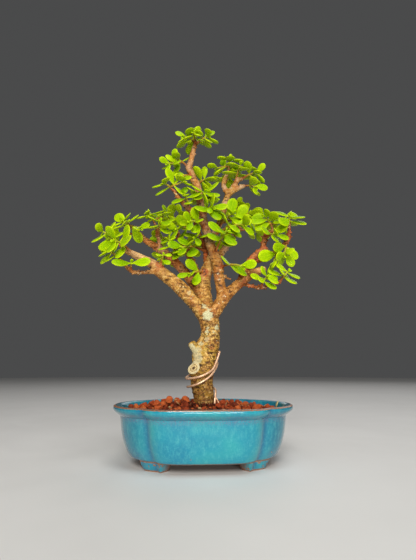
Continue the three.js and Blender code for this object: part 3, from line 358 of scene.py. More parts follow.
def bark_material():
    g = Graph("bark")
    red, girth, relief = g.given("red"), g.given("girth"), g.given("relief")
    mottle = g.noise(4.4, 5, 0.65, stretch=(1, 1, 0.8), warp=0.4)
    grain = g.noise(1.7, 4, 0.7)
    # the thinner wood above the fork is smoother and more even
    mean = 0.53
    shade = (grain * 0.6 + mottle * 0.45 - mean) * g.z.step(130, 175, 1, 0.6) + mean
    old = shade.ramp((0.36, (0.07, 0.026, 0.005)), (0.46, (0.3, 0.14, 0.022)),
                     (0.56, (0.54, 0.3, 0.06)), (0.69, (0.86, 0.62, 0.24)))
    young = shade.ramp((0.36, (0.05, 0.01, 0.003)), (0.46, (0.24, 0.05, 0.01)),
                       (0.57, (0.46, 0.15, 0.032)), (0.7, (0.7, 0.37, 0.14)))
    maroon = shade.ramp((0.36, (0.035, 0.005, 0.001)), (0.46, (0.17, 0.024, 0.004)),
                        (0.57, (0.38, 0.08, 0.013)), (0.7, (0.62, 0.25, 0.08)))
    newest = red.step(0.38, 0.85)
    g.color = g.mix(red, old, young)
    g.lay(newest * 0.9, maroon)
    # rusty and olive stains, a grey bloom on the thinner wood, and a darker foot
    g.lay(g.noise(7, stretch=(1, 1, 0.6)).step(0.5, 0.63, 0, 0.6), (0.33, 0.095, 0.018))
    g.lay(g.noise(6.5).step(0.47, 0.6) * g.z.step(140, 62, 0.1, 0.7), (0.35, 0.235, 0.012))
    bloom = g.noise(13).step(0.42, 0.62, 0, 0.75) * g.z.step(150, 200, 0, 0.85)
    g.lay(bloom * (newest * -0.8 + 1), (0.54, 0.36, 0.23))
    g.lay(g.z.step(90, 58, 0, 0.6), (0.15, 0.045, 0.004))
    # dark cracks and level wrinkles, most of them on the thick wood
    thick = girth.step(3, 8, 0.3, 1) * g.z.step(140, 96, 0.22, 0.9)
    shove = g.scaled(g.noise(5, roughness=0.5, output="Color"), (5, 5, 4))
    moved = g.new("ShaderNodeVectorMath", {0: g.place, 1: shove}, operation="ADD")
    edges = g.cells(4.6, "DISTANCE_TO_EDGE", g.scaled(moved, (0.7, 0.7, 2.1)))
    crack = ((grain - 0.5) * 0.55 + edges).step(0.1, 0.02) * thick
    g.lay(crack * 0.9, (0.05, 0.02, 0.005))
    level = g.noise(2, 3, 0.6, stretch=(0.22, 0.22, 1), warp=0.25)
    wrinkles = level.step(0.47, 0.39) * girth.step(3, 8, 0.1, 0.75)
    g.lay(wrinkles, (0.13, 0.045, 0.01))
    # painted shade in the hollows of the bark's relief
    g.lay(relief.step(-0.08, -0.5, 0, 0.8), (0.04, 0.016, 0.004))
    # painted highlight on the raised plates of the relief, weaker on the newest wood
    g.lay(relief.step(0.15, 0.6, 0, 0.45) * (newest * -0.6 + 1), (0.74, 0.5, 0.17))
    # pale scars and spots
    g.lay(g.given("pale") * grain.step(0.32, 0.5, 0.55, 1), (0.51, 0.485, 0.28))
    g.lay(g.cells(2.6).step(0.3, 0.2) * g.noise(14, 2).step(0.55, 0.62) * 0.65, (0.62, 0.56, 0.34))
    # the sawn face: rings, a dark crack, a dark centre and a pale outer ring
    aside = g.given("aside")
    rings = (aside * 3.8 + g.noise(5, 2) * 5).apply("SINE")
    face = g.mix(rings.step(-0.2, 0.8, 0, 0.8), (0.6, 0.46, 0.22), (0.2, 0.1, 0.035))
    face = g.mix(g.noise(2.2).step(0.55, 0.62, 0, 0.7), face, (0.08, 0.035, 0.012))
    face = g.mix(aside.step(1.8, 0.7), face, (0.05, 0.022, 0.008))
    face = g.mix(aside.step(4, 4.8, 0, 0.85), face, (0.6, 0.52, 0.31))
    g.lay(g.given("cut"), face)
    # painted shade inside the small holes
    g.lay(g.given("hole_shade"), (0.012, 0.006, 0.003))
    normal = g.bump(crack * -0.6 + wrinkles * -0.5 + grain, 0.6, 0.6, g.bump(mottle, 0.4, 0.9))
    return g.finish(mottle.step(0.3, 0.7, 0.5, 0.75), normal, Specular_IOR_Level=0.25)


def leaf_material():
    g = Graph("leaf")
    along, across = g.given("along"), abs(g.given("across"))
    # the leaf's tone also carries the painted shade inside the crown
    g.color = (g.noise(5) * 0.35 + g.given("tone") * 0.75).ramp(
        (0.12, (0.07, 0.18, 0.001)), (0.45, (0.2, 0.36, 0.001)), (0.82, (0.36, 0.53, 0.002)))
    # painted shade darkens the middle of the thick blade; the tip, foot and midrib are yellower; the edge is
    # yellower, partly its colour and partly painted light through the thin rim; the underside is paler
    # painted shade in the middle of the blade
    g.lay(across.step(0.8, 0.25, 0, 0.4), (0.11, 0.27, 0.001))
    g.lay(along.step(0.7, 1, 0, 0.35), (0.44, 0.54, 0.004))
    g.lay(along.step(0.22, 0.02, 0, 0.55), (0.46, 0.48, 0.015))
    midrib = across.step(0.13, 0)
    g.lay(midrib * 0.25, (0.46, 0.6, 0.006))
    # the yellower edge, partly painted light through the thin rim
    g.lay(across.step(0.8, 1, 0, 0.5), (0.5, 0.58, 0.006))
    g.lay(g.given("face").step(0.1, -0.4, 0, 0.6), (0.4, 0.55, 0.004))
    # the shoot goes from red-brown at its foot to green at its tip
    stem = g.given("age").ramp((0, (0.26, 0.085, 0.02)), (0.45, (0.36, 0.25, 0.03)), (1, (0.38, 0.45, 0.03)))
    g.lay(g.given("stem"), g.mix(g.noise(1.6).step(0.5, 0.7, 0, 0.4), stem, (0.22, 0.07, 0.02)))
    normal = g.bump(g.noise(0.8, 2, 0.6), 0.05, 0.06, g.bump(midrib * -0.5 + g.noise(2.6, 2), 0.25, 0.3))
    roughness = g.noise(3.5).step(0.3, 0.7, 0.3, 0.46)
    return g.finish(roughness, normal, Subsurface_Weight=0.3, Subsurface_Scale=0.0015,
                    Subsurface_Radius=(1, 1, 0.1), Specular_IOR_Level=0.2, Specular_Tint=(1, 1, 0.15, 1))


def soil_material():
    g = Graph("fired_clay_chips")
    tone = g.given("tone")
    grit = g.noise(1, 4, 0.7)
    g.color = (grit * 0.4 + tone * 0.62).ramp(
        (0.12, (0.035, 0.007, 0.003)), (0.34, (0.16, 0.026, 0.009)),
        (0.58, (0.34, 0.055, 0.014)), (0.86, (0.54, 0.14, 0.035)))
    # a few tan chips, dust, painted shade on the bed that shows between the chips, and pits
    g.lay(tone.step(0.955, 0.97) * 0.8, (0.4, 0.27, 0.12))
    g.lay(g.noise(2.4).step(0.58, 0.75, 0, 0.4), (0.46, 0.15, 0.06))
    g.lay(g.given("depth"), (0.018, 0.008, 0.005))
    pits = g.cells(0.9).step(0.1, 0.34)
    g.lay(pits.step(0.5, 0, 0, 0.5), (0.06, 0.012, 0.005))
    normal = g.bump(pits, 0.8, 0.35, g.bump(grit, 1, 0.9))
    return g.finish(grit.step(0.3, 0.7, 0.7, 0.95), normal, Specular_IOR_Level=0.12)


def wire_material():
    g = Graph("copper_wire")
    patina = g.noise(3, 4, 0.6)
    g.color = patina.ramp((0.3, (0.5, 0.27, 0.15)), (0.55, (0.7, 0.44, 0.27)), (0.75, (0.82, 0.6, 0.43)))
    scratch = g.noise(0.35, 3, 0.6, stretch=(1, 1, 0.25))
    g.lay(scratch.step(0.6, 0.75, 0, 0.3), (0.34, 0.18, 0.1))
    return g.finish(patina.step(0.3, 0.7, 0.5, 0.36), g.bump(scratch, 0.2, 0.08), Metallic=0.5)


def dry_leaf_material():
    g = Graph("dry_leaf")
    blotch = g.noise(1.6, 4, 0.6)
    g.color = blotch.ramp((0.3, (0.38, 0.25, 0.07)), (0.5, (0.62, 0.5, 0.2)), (0.75, (0.78, 0.7, 0.42)))
    veins = g.noise(0.7, 3, 0.6, stretch=(1, 1, 0.3))
    return g.finish(blotch.step(0.3, 0.7, 0.5, 0.7), g.bump(veins, 0.5, 0.3))


def screen_material():
    g = Graph("black_plastic_mesh")
    grain = g.noise(0.6)
    g.color = grain.ramp((0.3, (0.012, 0.014, 0.013)), (0.7, (0.035, 0.04, 0.036)))
    return g.finish(grain.step(0.3, 0.7, 0.4, 0.6), g.bump(grain, 0.3, 0.1))


def floor_material():
    g = Graph("pale_floor")
    g.color = g.noise(180).ramp((0.3, (0.7, 0.69, 0.67)), (0.7, (0.74, 0.73, 0.71)))
    return g.finish(g.noise(40, 2).step(0.3, 0.7, 0.55, 0.65))


GLAZE = glaze_material()
BARK = bark_material()
LEAF = leaf_material()
SOIL = soil_material()
WIRE = wire_material()
DRY_LEAF = dry_leaf_material()
SCREEN = screen_material()

# ---------------- mesh helpers


def lerp(a, b, share):
    return a + (b - a) * share


def smooth_step(value, low, high):
    share = np.clip((value - low) / (high - low), 0, 1)
    return share * share * (3 - 2 * share)


class Shape:
    """Vertices in millimetres from the pot's axis, with faces and the same numbers for each vertex."""

    def __init__(self):
        self.points = []
        self.faces = []
        self.numbers = {}
        self.count = 0

    def add(self, points, faces, **numbers):
        points = np.asarray(points, float)
        first = self.count
        self.points.append(points)
        self.faces.extend([tuple(first + i for i in face) for face in faces])
        for name, value in numbers.items():
            self.numbers.setdefault(name, []).append(np.broadcast_to(value, len(points)))
        self.count += len(points)

    def build(self, name, material, smooth=True):
        mesh = bpy.data.meshes.new(name)
        points = np.concatenate(self.points) * MM + np.array(POT)
        mesh.from_pydata(points.tolist(), [], self.faces)
        mesh.materials.append(material)
        mesh.polygons.foreach_set("use_smooth", [smooth] * len(mesh.polygons))
        for key, parts in self.numbers.items():
            number(mesh, key, np.concatenate(parts))
        mesh.update()
        obj = bpy.data.objects.new(name, mesh)
        bpy.context.scene.collection.objects.link(obj)
        return obj


def number(mesh, name, values):
    """Gives the mesh a number for each vertex, for its material to read."""
    layer = mesh.attributes.get(name) or mesh.attributes.new(name, "FLOAT", "POINT")
    layer.data.foreach_set("value", np.asarray(values, np.float32))


def places(mesh):
    """The mesh's vertices in millimetres from the pot's axis."""
    co = np.empty(len(mesh.vertices) * 3)
    mesh.vertices.foreach_get("co", co)
    return (co.reshape(-1, 3) - np.array(POT)) / MM


def circle(count):
    """The cosine and sine of each of count equal turns."""
    return [(math.cos(math.tau * i / count), math.sin(math.tau * i / count)) for i in range(count)]


def skin(rows, columns):
    """The quads between rings of points, wound so that they face out, and both end caps."""
    faces = []
    for r in range(rows - 1):
        for c in range(columns):
            d = (c + 1) % columns
            a = r * columns
            b = a + columns
            faces.append((a + c, a + d, b + d, b + c))
    last = (rows - 1) * columns
    return faces + [tuple(range(columns))[::-1], tuple(last + c for c in range(columns))]


def squared_to(along, reference):
    """The direction square to along that is nearest to reference."""
    return (reference - along * reference.dot(along)).normalized()


def scattered(rng):
    """A vector in any direction."""
    return Vector((rng.gauss(0, 1), rng.gauss(0, 1), rng.gauss(0, 1)))


def catmull(rows, steps):
    """A smooth row through rows of numbers, with steps samples to each stretch."""
    rows = np.asarray(rows, float)
    padded = np.vstack([2 * rows[0] - rows[1], rows, 2 * rows[-1] - rows[-2]])
    result = []
    for i in range(len(rows) - 1):
        p0, p1, p2, p3 = padded[i : i + 4]
        for s in range(steps):
            t = s / steps
            square = (2 * p0 - 5 * p1 + 4 * p2 - p3) * t**2
            cube = (3 * p1 - p0 - 3 * p2 + p3) * t**3
            result.append(0.5 * (2 * p1 + (p2 - p0) * t + square + cube))
    result.append(rows[-1])
    return np.array(result)


def tube(route, columns):
    """Points and faces of a round limb through rows of x, y, z and radius."""
    points = [Vector(row[:3]) for row in route]
    side = None
    rings = []
    for i, point in enumerate(points):
        along = (points[min(i + 1, len(points) - 1)] - points[max(i - 1, 0)]).normalized()
        if side is None:
            side = Vector((1, 0, 0)) if abs(along.z) > 0.9 else Vector((0, 0, 1))
        side = squared_to(along, side)
        across = along.cross(side)
        rings += [point + (side * cos + across * sin) * route[i][3] for cos, sin in circle(columns)]
    return rings, skin(len(points), columns)


def rounded_end(route):
    """The route with its far end drawn in to a small dome."""
    end, radius = route[-1, :3], route[-1, 3]
    along = end - route[-2, :3]
    along = along / np.linalg.norm(along)
    dome = [(*(end + along * radius * out), radius * share) for out, share in ((0.3, 0.9), (0.55, 0.6))]
    return np.vstack([route, dome])


def outward(obj):
    """Turns all faces of a closed mesh to face out."""
    work = bmesh.new()
    work.from_mesh(obj.data)
    bmesh.ops.recalc_face_normals(work, faces=work.faces)
    work.to_mesh(obj.data)
    work.free()
    return obj


def apply_modifiers(obj):
    graph = bpy.context.evaluated_depsgraph_get()
    mesh = bpy.data.meshes.new_from_object(obj.evaluated_get(graph))
    old = obj.data
    obj.modifiers.clear()
    obj.data = mesh
    mesh.name = obj.name
    bpy.data.meshes.remove(old)
    mesh.polygons.foreach_set("use_smooth", [True] * len(mesh.polygons))


def settle(piece, replaced):
    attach(piece, "root")
    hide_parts(replaced)


# ---------------- pot

# Half length, half depth and height of the pot's rings, from its base up and then down its inside.
WALL = [(59.5, 43, 7), (63.5, 46.4, 9.2), (67, 49.6, 16), (70, 52.4, 26.5), (72, 54.2, 40.7)]
LIP = [(72, 54.2, 40.7), (74.6, 56.8, 42.5), (77.4, 59.4, 45), (78, 60, 46.6)]
RIM = [(78, 60, 47.2), (77.7, 59.7, 48.3), (76.7, 58.7, 48.95), (75.2, 57.2, 49.1), (74.1, 56.1, 48.9),
       (73.3, 55.3, 48.4)]
INSIDE = [(72.6, 54.6, 48), (71.8, 53.8, 47), (68.6, 50.8, 37), (65, 47.4, 27), (61, 43.5, 16.5)]
UNDERSIDE = [(57.5, 41.2, 7), (59, 42.6, 7.1)]
FLOOR = [(59, 41.4, 14.2), (56.5, 39, 13.05), (54, 36.5, 13)]
EASED_EDGE = (60.3, 43.7, 7.6)
FOOT_OUTER = (61.1, 44.2)
FOOT_INNER = (46, 31)
FOOT_TURN = 0.8
FOOT_HALF_TURN = 0.21
FOOT_INSET = 2.5  # of the foot's sides, from top to bottom
FOOT_STEPS = 28
DRAIN_RADIUS = 7
DRAIN_PLACES = (-30, 30)
DRAIN_CUT = (1, 17)  # from below the floor to above it
GROOVE_TURN, GROOVE_WIDTH = 49.9, 3.2  # in degrees from the long axis
# The outline's long side, and the ellipse of its end lobe.
SIDE_REACH, SIDE_POWER = 0.691, 4.5
LOBE_MIDDLE, LOBE_LENGTH, LOBE_DEPTH = 0.55, 0.45, 0.776
JOIN_POWER = 80
SHARP_ANGLE = math.radians(38)
# Where the parts of the pot begin, as shares of its outline.
BRINK, INNER_WALL, BASE_EDGE = (0.966, 0.982), 0.955, 0.965


def lobed_radius(turn):
    """The pot's outline for a half length and half depth of one, as in the source."""
    cos, sin = abs(math.cos(turn)), abs(math.sin(turn))
    front = ((cos / SIDE_REACH) ** SIDE_POWER + sin**SIDE_POWER) ** (-1 / SIDE_POWER)
    a = (cos / LOBE_LENGTH) ** 2 + (sin / LOBE_DEPTH) ** 2
    b = -2 * LOBE_MIDDLE * cos / LOBE_LENGTH**2
    room = b * b - 4 * a * ((LOBE_MIDDLE / LOBE_LENGTH) ** 2 - 1)
    end = max(0, (-b + math.sqrt(room)) / (2 * a)) if room > 0 else 0
    return (front**JOIN_POWER + end**JOIN_POWER) ** (1 / JOIN_POWER)


POT_COLUMNS = 288
POT_TURNS = [math.tau * i / POT_COLUMNS for i in range(POT_COLUMNS)]


def pot_point(turn, half_length, half_depth, z):
    radius = lobed_radius(turn)
    return (half_length * radius * math.cos(turn), half_depth * radius * math.sin(turn), z)


def pot_ring(half_length, half_depth, z, every=1):
    return [pot_point(turn, half_length, half_depth, z) for turn in POT_TURNS[::every]]


def pot_body():
    rows = UNDERSIDE + list(catmull([EASED_EDGE] + WALL[1:], 5)) + list(catmull(LIP, 4))[1:]
    rows += RIM + list(catmull(INSIDE, 4)) + FLOOR
    shape = Shape()
    shape.add(sum([pot_ring(*row) for row in rows], []), skin(len(rows), POT_COLUMNS))
    return shape.build("pot_glazed", GLAZE)


def foot(middle):
    """A bracket foot: its ends curve up to the base, its edges are eased."""
    sections = []
    for i in range(FOOT_STEPS + 1):
        share = 1 - 2 * i / FOOT_STEPS
        drop = float(smooth_step(1 - abs(share), -0.02, 0.27))
        turn = middle + share * FOOT_HALF_TURN
        low = lerp(FOOT_HEIGHT + 0.2, 0, drop)
        inset = FOOT_INSET * drop
        ease = min(0.5, 0.4 * drop + 0.05)
        for outline, inward, z in (
            (FOOT_OUTER, 0, FOOT_HEIGHT + 1), (FOOT_INNER, 0, FOOT_HEIGHT + 1),
            (FOOT_INNER, -inset, low + ease), (FOOT_INNER, -inset - ease, low),
            (FOOT_OUTER, inset + ease, low), (FOOT_OUTER, inset, low + ease),
        ):
            sections.append(pot_point(turn, outline[0] - inward, outline[1] - inward, z))
    shape = Shape()
    shape.add(sections, skin(FOOT_STEPS + 1, 6))
    return shape.build("foot", GLAZE)


def drain_cutter(x):
    ring = circle(40)
    points = [(x + DRAIN_RADIUS * cos, DRAIN_RADIUS * sin, z) for z in DRAIN_CUT for cos, sin in ring]
    shape = Shape()
    shape.add(points, skin(2, len(ring)))
    return shape.build("drain", GLAZE)


def build_pot():
    body = outward(pot_body())
    turns = (FOOT_TURN, math.pi - FOOT_TURN, math.pi + FOOT_TURN, -FOOT_TURN)
    tools = [(outward(foot(turn)), "UNION") for turn in turns]
    tools += [(outward(drain_cutter(x)), "DIFFERENCE") for x in DRAIN_PLACES]
    for tool, operation in tools:
        cut = body.modifiers.new(tool.name, "BOOLEAN")
        cut.operation = operation
        cut.solver = "EXACT"
        cut.object = tool
    apply_modifiers(body)
    for tool, _ in tools:
        bpy.data.objects.remove(tool)
    mesh = body.data
    mesh.set_sharp_from_angle(angle=SHARP_ANGLE)
    x, y, z = places(mesh).T
    lengths, depths, heights = np.array(WALL + LIP).T
    across, deep = x / np.interp(z, heights, lengths), y / np.interp(z, heights, depths)
    turn = np.degrees(np.arctan2(np.abs(deep), np.abs(across)))
    size = np.hypot(across, deep) / np.array([lobed_radius(math.radians(a)) for a in turn])
    number(mesh, "in_groove", np.exp(-((turn - GROOVE_TURN) / GROOVE_WIDTH) ** 2))
    number(mesh, "ends", smooth_step(np.abs(x), 40, 58))
    number(mesh, "brink", smooth_step(size, *BRINK))
    number(mesh, "inside", (size < INNER_WALL) & (z > 9))
    number(mesh, "underside", (size < BASE_EDGE) & (z < 7.5))
    settle(body, "pot")


# ---------------- soil

FIXED_CHIPS = 64
LOOSE_CHIPS = 1500
CRUMBS = 300
CHIP_FORMS = 14
CHIP_CORNERS = 18
CHIP_EASE = 0.03
LOOSE_SIZES = (3, 6.6)
CRUMB_SIZES = (1.3, 3)
TWIG_BIT_LENGTH = 7
TRUNK_ROOM = 8.3  # kept free of chips round the trunk
CHIP_RADIUS = 0.42  # of a chip's size
CHIP_PACKING = 0.64  # how near two chips may come, as a share of their radii
GOLDEN_ANGLE = math.pi * (3 - math.sqrt(5))
# The largest chips lie heaped on the left: x, y, top and size.
LUMPS = [
    (-30.2, -6.1, 56.2, 9), (-15.4, 7, 56, 8.5), (-22.4, -12.6, 55, 7), (-40.1, -13.5, 53.6, 8),
    (-51.1, -14.8, 52.2, 8.5), (-62.5, -6.1, 49.6, 6.5), (-23, 0, 54.5, 7.5), (-35, 6, 53.5, 8),
    (31, 2.1, 51.8, 7.5), (41.4, -10.6, 51, 8), (54.8, -13.4, 49.4, 7), (22, 6, 52, 7), (-45, 0, 52.5, 7),
]
TWIG_BITS = [(-24.9, -16, 53.5), (-22.3, -17, 50.7), (-12, -22, 50.5), (18, -20, 50), (36, -22, 49.5)]


def seeded_draw(seed):
    """The same draws as in the source."""
    state = seed
    while True:
        state = (state * 9301 + 49297) % 233280
        yield state / 233280


def soil_height(share):
    return lerp(SOIL_MOUND_HEIGHT, SOIL_EDGE_HEIGHT, min(share, 1) ** 1.5)


def inside_at(z):
    """Half length and half depth of the soil at a height, just clear of the pot."""
    (bottom_length, bottom_depth, bottom), (top_length, top_depth, top) = INSIDE[-1], INSIDE[1]
    share = (z - bottom) / (top - bottom)
    return lerp(bottom_length, top_length, share) - 3 * GAP, lerp(bottom_depth, top_depth, share) - 3 * GAP


SOIL_EDGE = inside_at(SOIL_EDGE_HEIGHT)


def from_lowest(face):
    """The same face, begun at its lowest corner."""
    start = face.index(min(face))
    return (*face[start:], *face[:start])


def chip_forms(count):
    """A few angular chips with eased edges, about one across."""
    rng = random.Random(5)
    forms = []
    for _ in range(count):
        work = bmesh.new()
        for _ in range(CHIP_CORNERS):
            direction = scattered(rng).normalized()
            work.verts.new(direction * rng.uniform(0.4, 0.54))
        hull = bmesh.ops.convex_hull(work, input=work.verts)
        spare = [v for v in hull["geom_interior"] if isinstance(v, bmesh.types.BMVert)]
        bmesh.ops.delete(work, geom=spare, context="VERTS")
        bmesh.ops.bevel(work, geom=list(work.edges), offset=CHIP_EASE, segments=1, affect="EDGES",
                        clamp_overlap=True)
        bmesh.ops.triangulate(work, faces=work.faces)
        # sorted, as the hull's own order changes from run to run
        corners = sorted(work.verts, key=lambda corner: corner.co[:])
        for index, corner in enumerate(corners):
            corner.index = index
        faces = sorted(from_lowest([v.index for v in face.verts]) for face in work.faces)
        forms.append((np.array([corner.co[:] for corner in corners]), faces))
        work.free()
    return forms


def soil_bed(shape):
    """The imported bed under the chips, down to the pot's floor."""
    every = 3
    rows = [(54, 36.5, 13.3)]
    rows += [(*inside_at(z), z) for z in (17.5, 24, 33, SOIL_EDGE_HEIGHT - 1.5)]
    for share in (0.97, 0.88, 0.78, 0.68, 0.58, 0.48, 0.38, 0.28, 0.18, 0.08):
        rows.append((share * SOIL_EDGE[0], share * SOIL_EDGE[1], soil_height(share) - 1.6))
    points = []
    for row in rows:
        for x, y, z in pot_ring(*row, every):
            lift = 1.3 * noise.noise(Vector((x, y, z)) * 0.22) if z > 40 else 0
            points.append((x, y, z + lift))
    # the bed is painted near black, as the shade between the chips
    shape.add(points, skin(len(rows), POT_COLUMNS // every), tone=0.3, depth=0.75)


def random_spin(rng):
    axis = scattered(rng)
    return Matrix.Rotation(rng.uniform(0, math.tau), 3, axis)


def sunk(x, y, size):
    """The chips before the trunk lie lower, so that its foot is seen."""
    return 0.62 * size if abs(x + 1) < 13 and -44 < y < -4 else 0


def build_soil():
    shape = Shape()
    soil_bed(shape)
    forms = chip_forms(CHIP_FORMS)
    rng = random.Random(77)
    placed = []

    def add_chip(form, place, size, stretch, spin, tone):
        points, faces = form
        turned = (points * np.array(stretch)) @ np.array(spin).T
        shape.add(turned * size + np.array(place), faces, tone=tone, depth=0.0)

    # the chips that the solid soil has, at the same places
    draw = seeded_draw(77)
    for i in range(FIXED_CHIPS):
        share = math.sqrt((i + 0.5) / FIXED_CHIPS) * 0.95
        size = GRAIN_SIZE * (0.75 + 0.5 * next(draw))
        stretch = (1, 0.7 + 0.3 * next(draw), 0.6 + 0.3 * next(draw))
        about_x, about_y, about_z = [Matrix.Rotation(math.pi * next(draw), 3, axis) for axis in "XYZ"]
        height = soil_height(share) + 0.1 * size
        x, y, z = pot_point(i * GOLDEN_ANGLE, share * SOIL_EDGE[0], share * SOIL_EDGE[1], height)
        place = (x, y, z - sunk(x, y, size))
        placed.append((place, size * CHIP_RADIUS))
        spin = about_z @ about_y @ about_x
        add_chip(forms[i % len(forms)], place, size * 0.92, stretch, spin, rng.random())
    for x, y, top, size in LUMPS:
        place = (x, y, top - CHIP_RADIUS * size)
        placed.append((place, size * CHIP_RADIUS))
        add_chip(rng.choice(forms), place, size, (1, 0.95, 0.9), random_spin(rng), rng.uniform(0.35, 0.9))
    # smaller chips wherever there is room
    for i in range(LOOSE_CHIPS):
        share = math.sqrt((i + 0.5) / LOOSE_CHIPS) * 0.965
        size = rng.uniform(*LOOSE_SIZES)
        share = min(share, 0.985 - CHIP_RADIUS * size / 55)
        turn = i * GOLDEN_ANGLE * 1.7 + rng.uniform(-0.05, 0.05)
        z = soil_height(share) + rng.uniform(-0.3, 0.22) * size
        x, y, z = pot_point(turn, share * SOIL_EDGE[0], share * SOIL_EDGE[1], z)
        if math.hypot(x - 1, y) < TRUNK_ROOM:
            continue
        if any(math.hypot(x - p[0], y - p[1]) < CHIP_PACKING * (r + 0.4 * size) for p, r in placed):
            continue
        place = (x, y, z - 0.7 * sunk(x, y, size))
        placed.append((place, size * CHIP_RADIUS))
        stretch = (1, rng.uniform(0.65, 1), rng.uniform(0.5, 0.9))
        add_chip(rng.choice(forms), place, size, stretch, random_spin(rng), rng.random())
    # dark crumbs round the foot of the trunk, and a few chips of dry twig
    for _ in range(CRUMBS):
        turn, out = rng.uniform(0, math.tau), rng.uniform(9, 17)
        x, y = 1 + out * math.cos(turn), out * math.sin(turn)
        size = rng.uniform(*CRUMB_SIZES)
        place = (x, y, 48.6 + 0.2 * size - 0.12 * (out - 9) + rng.uniform(-0.4, 0.5))
        add_chip(rng.choice(forms), place, size, (1, 0.8, 0.7), random_spin(rng), rng.uniform(-0.35, 0.15))
    for place in TWIG_BITS:
        add_chip(rng.choice(forms), place, TWIG_BIT_LENGTH, (1, 0.17, 0.14), random_spin(rng), 0.99)
    settle(shape.build("soil_chips", SOIL, smooth=False), "soil")


# ---------------- wood

VOXEL = 0.7
ROUTE_STEPS = 6
TRUNK_COLUMNS, LIMB_COLUMNS, STUB_COLUMNS = 28, 18, 8
NEAREST_SAMPLES = 5
OLD_WOOD = ("trunk", "cut_stump", "callus", "old_stub")
SHOOT_FOOT_RADII = (1.55, 1.12)
STUB_SUNK = 0.7
STUB_TAPER = ((0, 1.5), (0.5, 1.05), (0.85, 0.95), (1, 0.6))  # share and width
# Relief of the bark: on all wood, more on thick wood, its broad swell, and the depth of a hollow.
RELIEF, THICK_RELIEF, SWELL, HOLLOW_DEPTH = 0.16, 0.52, 0.55, 1.3
# Scars and bare spots of the bark: x, y, z, radius and how pale.
PALE_PATCHES = [
    (3.3, -9.2, 125.9, 4.6, 1.0), (0.8, -9.1, 134.4, 2.4, 0.9), (4.1, -9.3, 131.1, 2.0, 0.9),
    (8.5, -8.5, 131.6, 1.5, 0.7), (1.7, -8.8, 111.2, 2.7, 0.95), (12.2, -6.8, 115.7, 2.7, 0.9),
    (8.5, -8.5, 111.2, 1.4, 0.7), (2.8, -8.9, 115.5, 1.3, 0.8), (2.0, -8.8, 104.8, 2.5, 0.45),
    (-3.1, -7.8, 100.9, 2.2, 0.65), (-5.0, -8.7, 95.8, 2.8, 0.6), (-6.9, -8.1, 91.2, 3.3, 0.65),
    (-4.2, -8.8, 89.6, 2.7, 0.55), (-4.8, -8.7, 86.2, 3.2, 0.6), (-7.1, -7.6, 85.7, 2.7, 0.5),
    (-8.6, -7.4, 95.0, 3.8, 0.75), (-10.5, -8.5, 98, 3.4, 0.8), (-2.6, -8.6, 102.6, 1.6, 0.8),
    (22.6, -13, 148, 1.8, 0.6), (-13.7, -12, 146, 2.0, 0.5),
]
# Small holes, painted near black inside as shade: x, y, z and radius.
HOLLOWS = [(-2.7, -8.8, 82.1, 1.4), (-0.7, -9.4, 67.2, 1.1), (7.5, -8.2, 92, 1.0)]
# The sawn face of the stump: its middle, which way it faces, and its radius.
STUMP_FACE = ((-9.2, -8.4, 79.6), (-5.4, -8.4, 6.4), 6.4)


def on_curve(curve, t):
    a, b, c = curve
    return a * (1 - t) ** 2 + b * 2 * t * (1 - t) + c * t**2


def spray_curves(foot_point, tips):
    """The shoots of a spray as quadratic curves, by the source's rule."""
    def bent(root, start, tip):
        along = (start - root).normalized()
        return start, start + along * 0.5 * (tip - start).length, tip

    root = Vector(foot_point)
    ends = [Vector(tip) for tip, _ in tips]
    start = root.lerp(ends[0], WOODY_SHARE)
    start.z += 0.06 * (ends[0] - root).length
    curves = [bent(root, start, ends[0])]
    fork = on_curve(curves[0], 0.2)
    return curves + [bent(fork.lerp(tip, -0.1), fork, tip) for tip in ends[1:]]


def limb_routes():
    """Every limb and woody shoot foot: its name, how red it is, and its smooth route with the radius."""
    routes = []
    for name, (sides, red, points) in LIMBS.items():
        rounder = (1 + math.cos(math.pi / sides)) / 2
        route = catmull(points, ROUTE_STEPS)
        route[:, 3] *= rounder
        routes.append((name, red, route))
    for name, (foot_point, _, tips) in SPRAYS.items():
        root, start = Vector(foot_point), spray_curves(foot_point, tips)[0][0]
        rows = [(*root.lerp(start, t), lerp(*SHOOT_FOOT_RADII, t)) for t in (0, 0.25, 0.5, 0.75, 1.0)]
        routes.append((name, 0.8, np.array(rows)))
    return routes


def add_stubs(shape, routes, rng):
    """Short stubs of lost shoots and leaf scars along the young wood."""
    for name, red, route in routes:
        if name in OLD_WOOD or name in SPRAYS:
            continue
        lengths = np.linalg.norm(np.diff(route[:, :3], axis=0), axis=1)
        total = lengths.sum()
        for _ in range(int(total * (0.14 + 0.5 * red))):
            at = rng.uniform(0.18, 0.97) * total
            i = min(int(np.searchsorted(np.cumsum(lengths), at)), len(lengths) - 1)
            point, radius = Vector(route[i, :3]), route[i, 3]
            along = Vector(route[i + 1, :3] - route[i, :3]).normalized()
            side = squared_to(along, scattered(rng))
            out = (side + along * rng.uniform(0, 0.5)).normalized()
            length = rng.uniform(0.5, 2.1) * (0.7 + 0.5 * red)
            width = rng.uniform(0.55, 0.85)
            start = point + side * (radius - STUB_SUNK)
            rows = [(*(start + out * (STUB_SUNK + length) * t), width * w) for t, w in STUB_TAPER]
            shape.add(*tube(rows, STUB_COLUMNS))


def grown_together(routes):
    """All limbs and stubs as one skin."""
    shape = Shape()
    for name, _, route in routes:
        open_end = name in ("trunk", "cut_stump")
        columns = TRUNK_COLUMNS if name == "trunk" else LIMB_COLUMNS
        shape.add(*tube(route if open_end else rounded_end(route), columns))
    add_stubs(shape, routes, random.Random(11))
    piece = outward(shape.build("wood_bark", BARK))
    remesh = piece.modifiers.new("remesh", "REMESH")
    remesh.mode = "VOXEL"
    remesh.voxel_size = VOXEL * MM
    remesh.adaptivity = 0
    rounding = piece.modifiers.new("rounding", "SMOOTH")
    rounding.factor = 0.5
    rounding.iterations = 3
    apply_modifiers(piece)
    return piece


